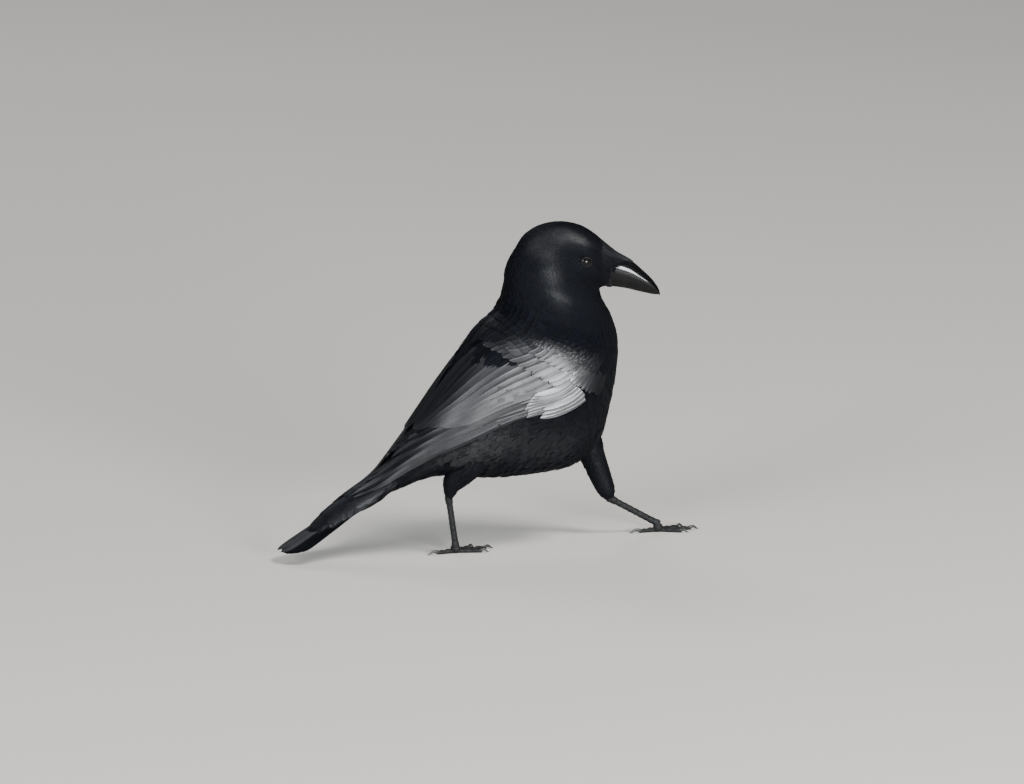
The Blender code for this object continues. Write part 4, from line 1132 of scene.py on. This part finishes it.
def eyeball(centre, radius, look, upward, ahead):
    """A ball round the look's axis with the cornea's swelling, and the iris field off that axis."""
    polar = np.linspace(0.02, math.pi - 0.02, 40)[:, None]
    turn = np.linspace(0, 2 * math.pi, 48, endpoint=False)[None]
    outward = np.sin(turn)[..., None] * upward + np.cos(turn)[..., None] * ahead
    cornea = 1 + 0.03 * np.exp(-((polar / 0.45) ** 2))
    depth = (np.cos(polar) * cornea)[..., None] * look
    off = np.sin(np.minimum(polar, QUARTER)) + 0 * turn
    field = np.stack([off, turn + 0 * polar, off], -1).reshape(-1, 3)
    field = np.concatenate([field, [[0, 0, 0], [1, 0, 1]]])
    return centre + radius * (depth + np.sin(polar)[..., None] * outward), {"iris": field}


def lid_ring(rim, radius, thickness, look, upward, ahead):
    """A wrinkled round bead on an oval about the look's axis, thicker above."""
    section = np.linspace(0, 2 * math.pi, LID_AROUND, endpoint=False)[None, :, None]
    turn = np.linspace(0, 2 * math.pi, LID_SECTIONS, endpoint=False)
    out = np.sin(turn)[:, None] * upward * 0.92 + np.cos(turn)[:, None] * ahead * 1.06
    swell = 1 + 0.35 * np.clip(np.sin(turn), 0, 1) + 0.06 * np.sin(turn * 24)
    thick = thickness * swell[:, None, None]
    middle = rim + out * radius
    points = middle[:, None] + thick * (unit(out)[:, None] * np.cos(section) + look * np.sin(section))
    return points, [band_faces(LID_SECTIONS + 1, LID_AROUND) % (LID_SECTIONS * LID_AROUND)]


class CROW_OT_eyes(bpy.types.Operator):
    """Both eyeballs with iris and pupil, and the lids round them"""

    bl_idname = "crow.eyes"
    bl_label = "Eyes and lids"

    def execute(self, context):
        settings = context.scene.crow_head
        material, lid_material = eye_paint(settings), bpy.data.materials["skin"]
        lid = settings.lid_radius / MM, settings.lid_thickness / MM
        for label, side in SIDES:
            low, high = (np.array(corner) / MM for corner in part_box("eye_" + label))
            centre, radius = (low + high) / 2, (high - low).max() / 2
            look = chart("trunk").frame(np.array(EYE_RING), np.array(side * EYE_ANGLE))[3]
            upward = unit(np.array([0.0, 0.0, 1.0]) - look * look[2])
            axes = look, upward, np.cross(upward, look)
            ball, fields = eyeball(centre, radius, *axes)
            eye = loft("eyeball_" + label, ball, material, fields=fields, sharp=180)
            settle(eye, "eye", "eye_" + label)
            points, faces = lid_ring(centre + look * (radius * 0.8), *lid, *axes)
            settle(put_mesh("lids_" + label, points, faces, lid_material, sharp=180), "plumage")
        return {"FINISHED"}


def bill_chart(ridge, edge, half_widths, middle, share):
    """The face's last rings and one half of the bill as one surface, by the distance from the base.

    The arc runs over the bill from edge to edge. The angle round the face is the middle's, and
    the share of the arc's distance from its own middle.
    """
    arc = np.radians(np.linspace(2, 178, 61))
    turn = middle + share * (arc - QUARTER)
    face = np.array([trunk_point(ring, turn) for ring in (21.8, 22.4, 22.9, 23.4, 24.0)])
    table = np.column_stack([ridge[:6], edge[:6], half_widths[:6]])
    rows = smooth_rows(table, np.linspace(0.35, 4, 12))
    points = np.concatenate([face, bill_section(rows, np.cos(arc), np.sin(arc) ** BILL_ROUNDNESS)])
    along = np.concatenate([[0], np.cumsum(np.linalg.norm(np.diff(points[:, 30], axis=0), axis=1))])
    even = np.linspace(0, along[-1], 90)
    points = smooth_rows(points, np.interp(even, along, np.arange(len(along))))
    base = along[len(face) - 1]
    away = points - points[:, :1] * 0.5 - points[:, -1:] * 0.5
    return Chart(points, (-base, along[-1] - base), (arc[0], arc[-1]), away)


class CROW_OT_bristles(bpy.types.Operator):
    """Stiff bristles that lie forward over the nostrils and the bill's base"""

    bl_idname = "crow.bristles"
    bl_label = "Bristles"

    def execute(self, context):
        chance = np.random.default_rng(context.scene.crow_plumage.seed + BRISTLE_SEED)
        material = bpy.data.materials["small_feathers"]
        steps = np.array([0, 0.2, 0.4, 0.6, 0.8, 0.93, 1.0])
        upper = bill_chart(UPPER_RIDGE, UPPER_EDGE, UPPER_HALF_WIDTH, 0, -1.06)
        lower = bill_chart(LOWER_KEEL, LOWER_EDGE, LOWER_HALF_WIDTH, math.pi, 0.94)
        halves = (("upper", 1100, 19.0, upper), ("lower", 520, 5.0, lower))
        for name, count, most, surface in halves:
            sideways = chance.uniform(-1, 1, count)
            low = np.abs(sideways)
            reach = most * (1 - 0.78 * ease((low - 0.25) / 0.7)) * chance.uniform(0.72, 1.0, count)
            start = chance.uniform(surface.low[0] + 0.6, 0.0, count)
            start += 0.35 * reach * chance.uniform(0, 1, count)
            u = start[:, None] + (reach - start)[:, None] * steps[None]
            stray = np.radians(5) * chance.normal(0, 1, count) - 0.2 * np.sign(sideways) * low * (1 - low)
            v = (QUARTER + np.radians(84) * sideways)[:, None] + stray[:, None] * steps[None]
            width = 0.4 * (1 + 0.15 * chance.normal(0, 1, count))
            widths = width[:, None] * tip_shape(steps, 0.8, 0.3, 0.12)
            lifts = -0.5 + chance.uniform(0.6, 1.3, count)[:, None] * ease(steps / 0.5) - 0.3 * steps**2
            vanes = Vanes(u, v, widths, lifts, vane_section(0, 0.2, 0.22, 4), steps, BRISTLE_GLOSS)
            vane_piece("bristles_" + name, surface, name, [vanes], material, chance)
        return {"FINISHED"}


def leather_paint(settings):
    """Dark leg skin: small scales, and paler dusty edges."""
    paint = Paint("leg_skin", settings.skin, 0.45, Specular_IOR_Level=0.15)
    cells = paint.node("ShaderNodeTexVoronoi", {}, {"Vector": paint.place(), "Scale": 1100.0}, "Distance")
    patch = paint.noise(300.0)
    edge = paint.ramp(patch + cells * 0.4, 0.5, 0.95, 0.0, 1.0)
    paint.set("Base Color", paint.mix(edge, settings.skin, settings.pale))
    paint.set("Roughness", paint.ramp(patch, 0.3, 0.7, 0.38, 0.56))
    paint.bump(cells * -1.0 + patch * 0.4, 0.0003, 0.7)
    return paint.material


def remeshed(name, pieces, voxel, material):
    """Closed shapes fused into one even surface of small cells, none of it under the floor."""
    points = np.concatenate([rings for rings, _ in pieces])
    firsts = np.cumsum([0] + [len(rings) for rings, _ in pieces])
    faces = [face + first for (_, parts), first in zip(pieces, firsts) for face in parts]
    body = put_mesh(name, points, faces, material)
    applied(body, "REMESH", mode="VOXEL", voxel_size=voxel)
    mesh = body.data
    co = np.zeros(len(mesh.vertices) * 3, np.float32)
    mesh.vertices.foreach_get("co", co)
    co[2::3] = np.maximum(co[2::3], 0)
    mesh.vertices.foreach_set("co", co)
    mesh.update()
    mesh.shade_smooth()
    mesh.materials.clear()
    mesh.materials.append(material)
    return body


def stepped(places, count, rise):
    """The rise of overlapping plates along a limb: each climbs slowly, then drops at its edge."""
    phase = (places * count) % 1.0
    return rise * (phase - ease((phase - 0.86) / 0.14) * phase)


def tarsus_parts(ankle, foot, angle):
    """The bare leg as a ringed tube that swells at both joints, and the round ball of the foot."""
    instep = np.array([*foot, INSTEP_HEIGHT])
    t = np.linspace(-0.06, 1.02, 150)
    swell = 1.05 + 0.32 * np.exp(-((t / 0.1) ** 2)) + 0.22 * np.exp(-(((t - 1) / 0.08) ** 2))
    radius = TARSUS_RADIUS * (swell + stepped(t, SCUTES, 0.16))
    leg = tube_rings(np.array(ankle) + (instep - ankle) * t[:, None], radius * 1.06, radius * 0.88, angle)
    hub = [*foot, 0.0] + np.linspace(0, INSTEP_HEIGHT + 0.6, 24)[:, None] * [0, 0, 1.0]
    wide = 3.9 * np.sqrt(np.clip(1 - (np.linspace(-0.9, 1, 24)) ** 2, 0.02, 1)) + 0.7
    return [loft_shape(leg, True), loft_shape(tube_rings(hub, wide, wide, angle), True)]


def toe_rings(foot, ahead, length, root_radius, angle):
    """A toe along the floor: a tapering tube with pads below and plates above, and its spine."""
    t = np.linspace(0, 1.03, 110)
    pads = 0.1 * np.cos(2 * math.pi * 3 * (t - 0.12))
    radius = root_radius * (1 - 0.3 * t) * (1 + pads)
    spine = np.array([*foot, 0.0]) + ahead * length * t[:, None]
    spine[:, 2] = 0.8 * radius
    plates = stepped(t, round(length / 2.3), 0.13) * root_radius
    rings = tube_rings(spine, radius, radius * 0.92, angle)
    rings[..., 2] += plates[:, None] * np.clip(np.cos(angle), 0, 1)[None]
    return rings, spine[-8] + ahead * 0.2, radius[-1]


def claw_rings(end, ahead, length, radius, angle):
    """A claw from the toe's end: it rises by a sine, falls by a square and tapers to its tip."""
    t = np.linspace(0, 1, 22)
    claw = end + ahead * length * t[:, None]
    claw[:, 2] += 0.4 + 1.5 * np.sin(math.pi * np.minimum(t * 1.25, 1)) - (end[2] - 0.2) * t**2
    thick = 0.86 * radius * (1 - t) ** 0.7 + 0.1
    rings = tube_rings(claw, thick * 1.15, thick * 0.8, angle)
    rings[..., 2] = np.maximum(rings[..., 2], 0.05)
    return rings


class CROW_OT_legs(bpy.types.Operator):
    """Bare legs and toes with their plates, and the claws"""

    bl_idname = "crow.legs"
    bl_label = "Legs and claws"

    def execute(self, context):
        settings = context.scene.crow_legs
        material, horn = leather_paint(settings), bpy.data.materials["horn"]
        angle = np.linspace(0, 2 * math.pi, 40, endpoint=False)
        for label, (_, ankle, foot, heading, side) in LEGS.items():
            pieces = tarsus_parts(ankle, foot, angle)
            for number, (turn, length, root_radius, claw_length) in enumerate(TOES, 1):
                direction = heading - side * math.radians(turn)
                ahead = np.array([math.cos(direction), math.sin(direction), 0.0])
                rings, end, radius = toe_rings(foot, ahead, length, root_radius, angle)
                pieces.append(loft_shape(rings, True))
                rings = claw_rings(end, ahead, claw_length, radius, angle[::2])
                claw = loft(f"claw_horn_{label}_{number}", rings, horn, flip=True)
                settle(claw, "horn", f"claw_{label}_{number}")
            leg = remeshed("bare_leg_" + label, pieces, settings.voxel, material)
            settle(leg, "leg_skin", "tarsus_" + label, "foot_" + label)
        return {"FINISHED"}


# Soft panels: turn and height angle round the bird, distance, width and height, power, colour.
LIGHTS = {
    "key": (40, 56, 4.6, (1.5, 1.5), 175, (1.0, 0.98, 0.95)),
    "front": (6, 9, 4.6, (1.8, 0.7), 360, (0.95, 0.98, 1.0)),
    "left": (-55, 20, 4.6, (2.0, 1.5), 150, (0.96, 0.98, 1.0)),
    "rim": (190, 38, 4.0, (2.0, 1.0), 40, (0.92, 0.95, 1.0)),
}
STUDIO = {"Color": (0.86, 0.9, 1.0, 1), "Strength": 0.12}
FLOOR_HALF = 40.0 / MM
SENSOR = 36.0


def stand(name, data, azimuth, elevation, distance, target):
    """Puts a light or camera at a turn and height angle round the target, looking at it."""
    level = math.cos(elevation)
    away = Vector((math.sin(azimuth) * level, -math.cos(azimuth) * level, math.sin(elevation)))
    thing = bpy.data.objects.new(name, data)
    thing.location = Vector(target) + away * distance
    thing.rotation_euler = (-away).to_track_quat("-Z", "Y").to_euler()
    bpy.context.scene.collection.objects.link(thing)
    return thing


class CROW_OT_stage(bpy.types.Operator):
    """Pale floor, soft lights and the camera"""

    bl_idname = "crow.stage"
    bl_label = "Stage"

    def execute(self, context):
        settings = context.scene.crow_stage
        corners = FLOOR_HALF * np.array([(-1, -1, 0), (1, -1, 0), (1, 1, 0), (-1, 1, 0)])
        paint = Paint("floor", settings.floor, 0.8, Specular_IOR_Level=0.2)
        paint.set("Roughness", paint.ramp(paint.noise(3.0), 0.3, 0.7, 0.75, 0.85))
        floor = put_mesh("floor", corners, [np.array([[0, 1, 2, 3]])], paint.material)
        world = bpy.data.worlds.new("studio")
        world.use_nodes = True
        for key, value in STUDIO.items():
            world.node_tree.nodes["Background"].inputs[key].default_value = value
        context.scene.world = world
        target = tuple(settings.target)
        for name, (azimuth, elevation, distance, size, power, colour) in LIGHTS.items():
            light = bpy.data.lights.new(name, "AREA")
            light.shape = "RECTANGLE"
            light.size, light.size_y = size
            light.energy = power
            light.color = colour
            lamp = stand(name, light, math.radians(azimuth), math.radians(elevation), distance, target)
            lamp.visible_camera = False
        lens = bpy.data.cameras.new("camera")
        lens.sensor_width = SENSOR
        lens.lens = SENSOR * settings.distance / settings.width
        lens.clip_end = 200.0
        view = (settings.azimuth, settings.elevation, settings.distance)
        context.scene.camera = stand("camera", lens, *view, target)
        return {"FINISHED"}


OPERATORS = (
    CROW_OT_skin,
    CROW_OT_body_feathers,
    CROW_OT_wing_feathers,
    CROW_OT_tail_feathers,
    CROW_OT_bill,
    CROW_OT_eyes,
    CROW_OT_bristles,
    CROW_OT_legs,
    CROW_OT_stage,
)
SETTINGS = {
    "crow_plumage": CrowPlumage,
    "crow_head": CrowHead,
    "crow_legs": CrowLegs,
    "crow_stage": CrowStage,
}


class CROW_PT_panel(bpy.types.Panel):
    """The crow's pieces and settings"""

    bl_label = "Crow"
    bl_idname = "CROW_PT_panel"
    bl_space_type = "VIEW_3D"
    bl_region_type = "UI"
    bl_category = "Crow"

    def draw(self, context):
        for operator in OPERATORS:
            self.layout.operator(operator.bl_idname)
        for name, group in SETTINGS.items():
            box = self.layout.box()
            box.label(text=name.replace("crow_", "").capitalize())
            for key in group.__annotations__:
                box.prop(getattr(context.scene, name), key)


def register():
    for group in (*SETTINGS.values(), *OPERATORS, CROW_PT_panel):
        bpy.utils.register_class(group)
    for name, group in SETTINGS.items():
        setattr(bpy.types.Scene, name, PointerProperty(type=group))


def unregister():
    for name in SETTINGS:
        delattr(bpy.types.Scene, name)
    for group in (CROW_PT_panel, *reversed(OPERATORS), *SETTINGS.values()):
        bpy.utils.unregister_class(group)


def main():
    register()
    for operator in OPERATORS:
        group, name = operator.bl_idname.split(".")
        getattr(getattr(bpy.ops, group), name)()
    bpy.context.view_layer.update()


if __name__ == "__main__":
    main()
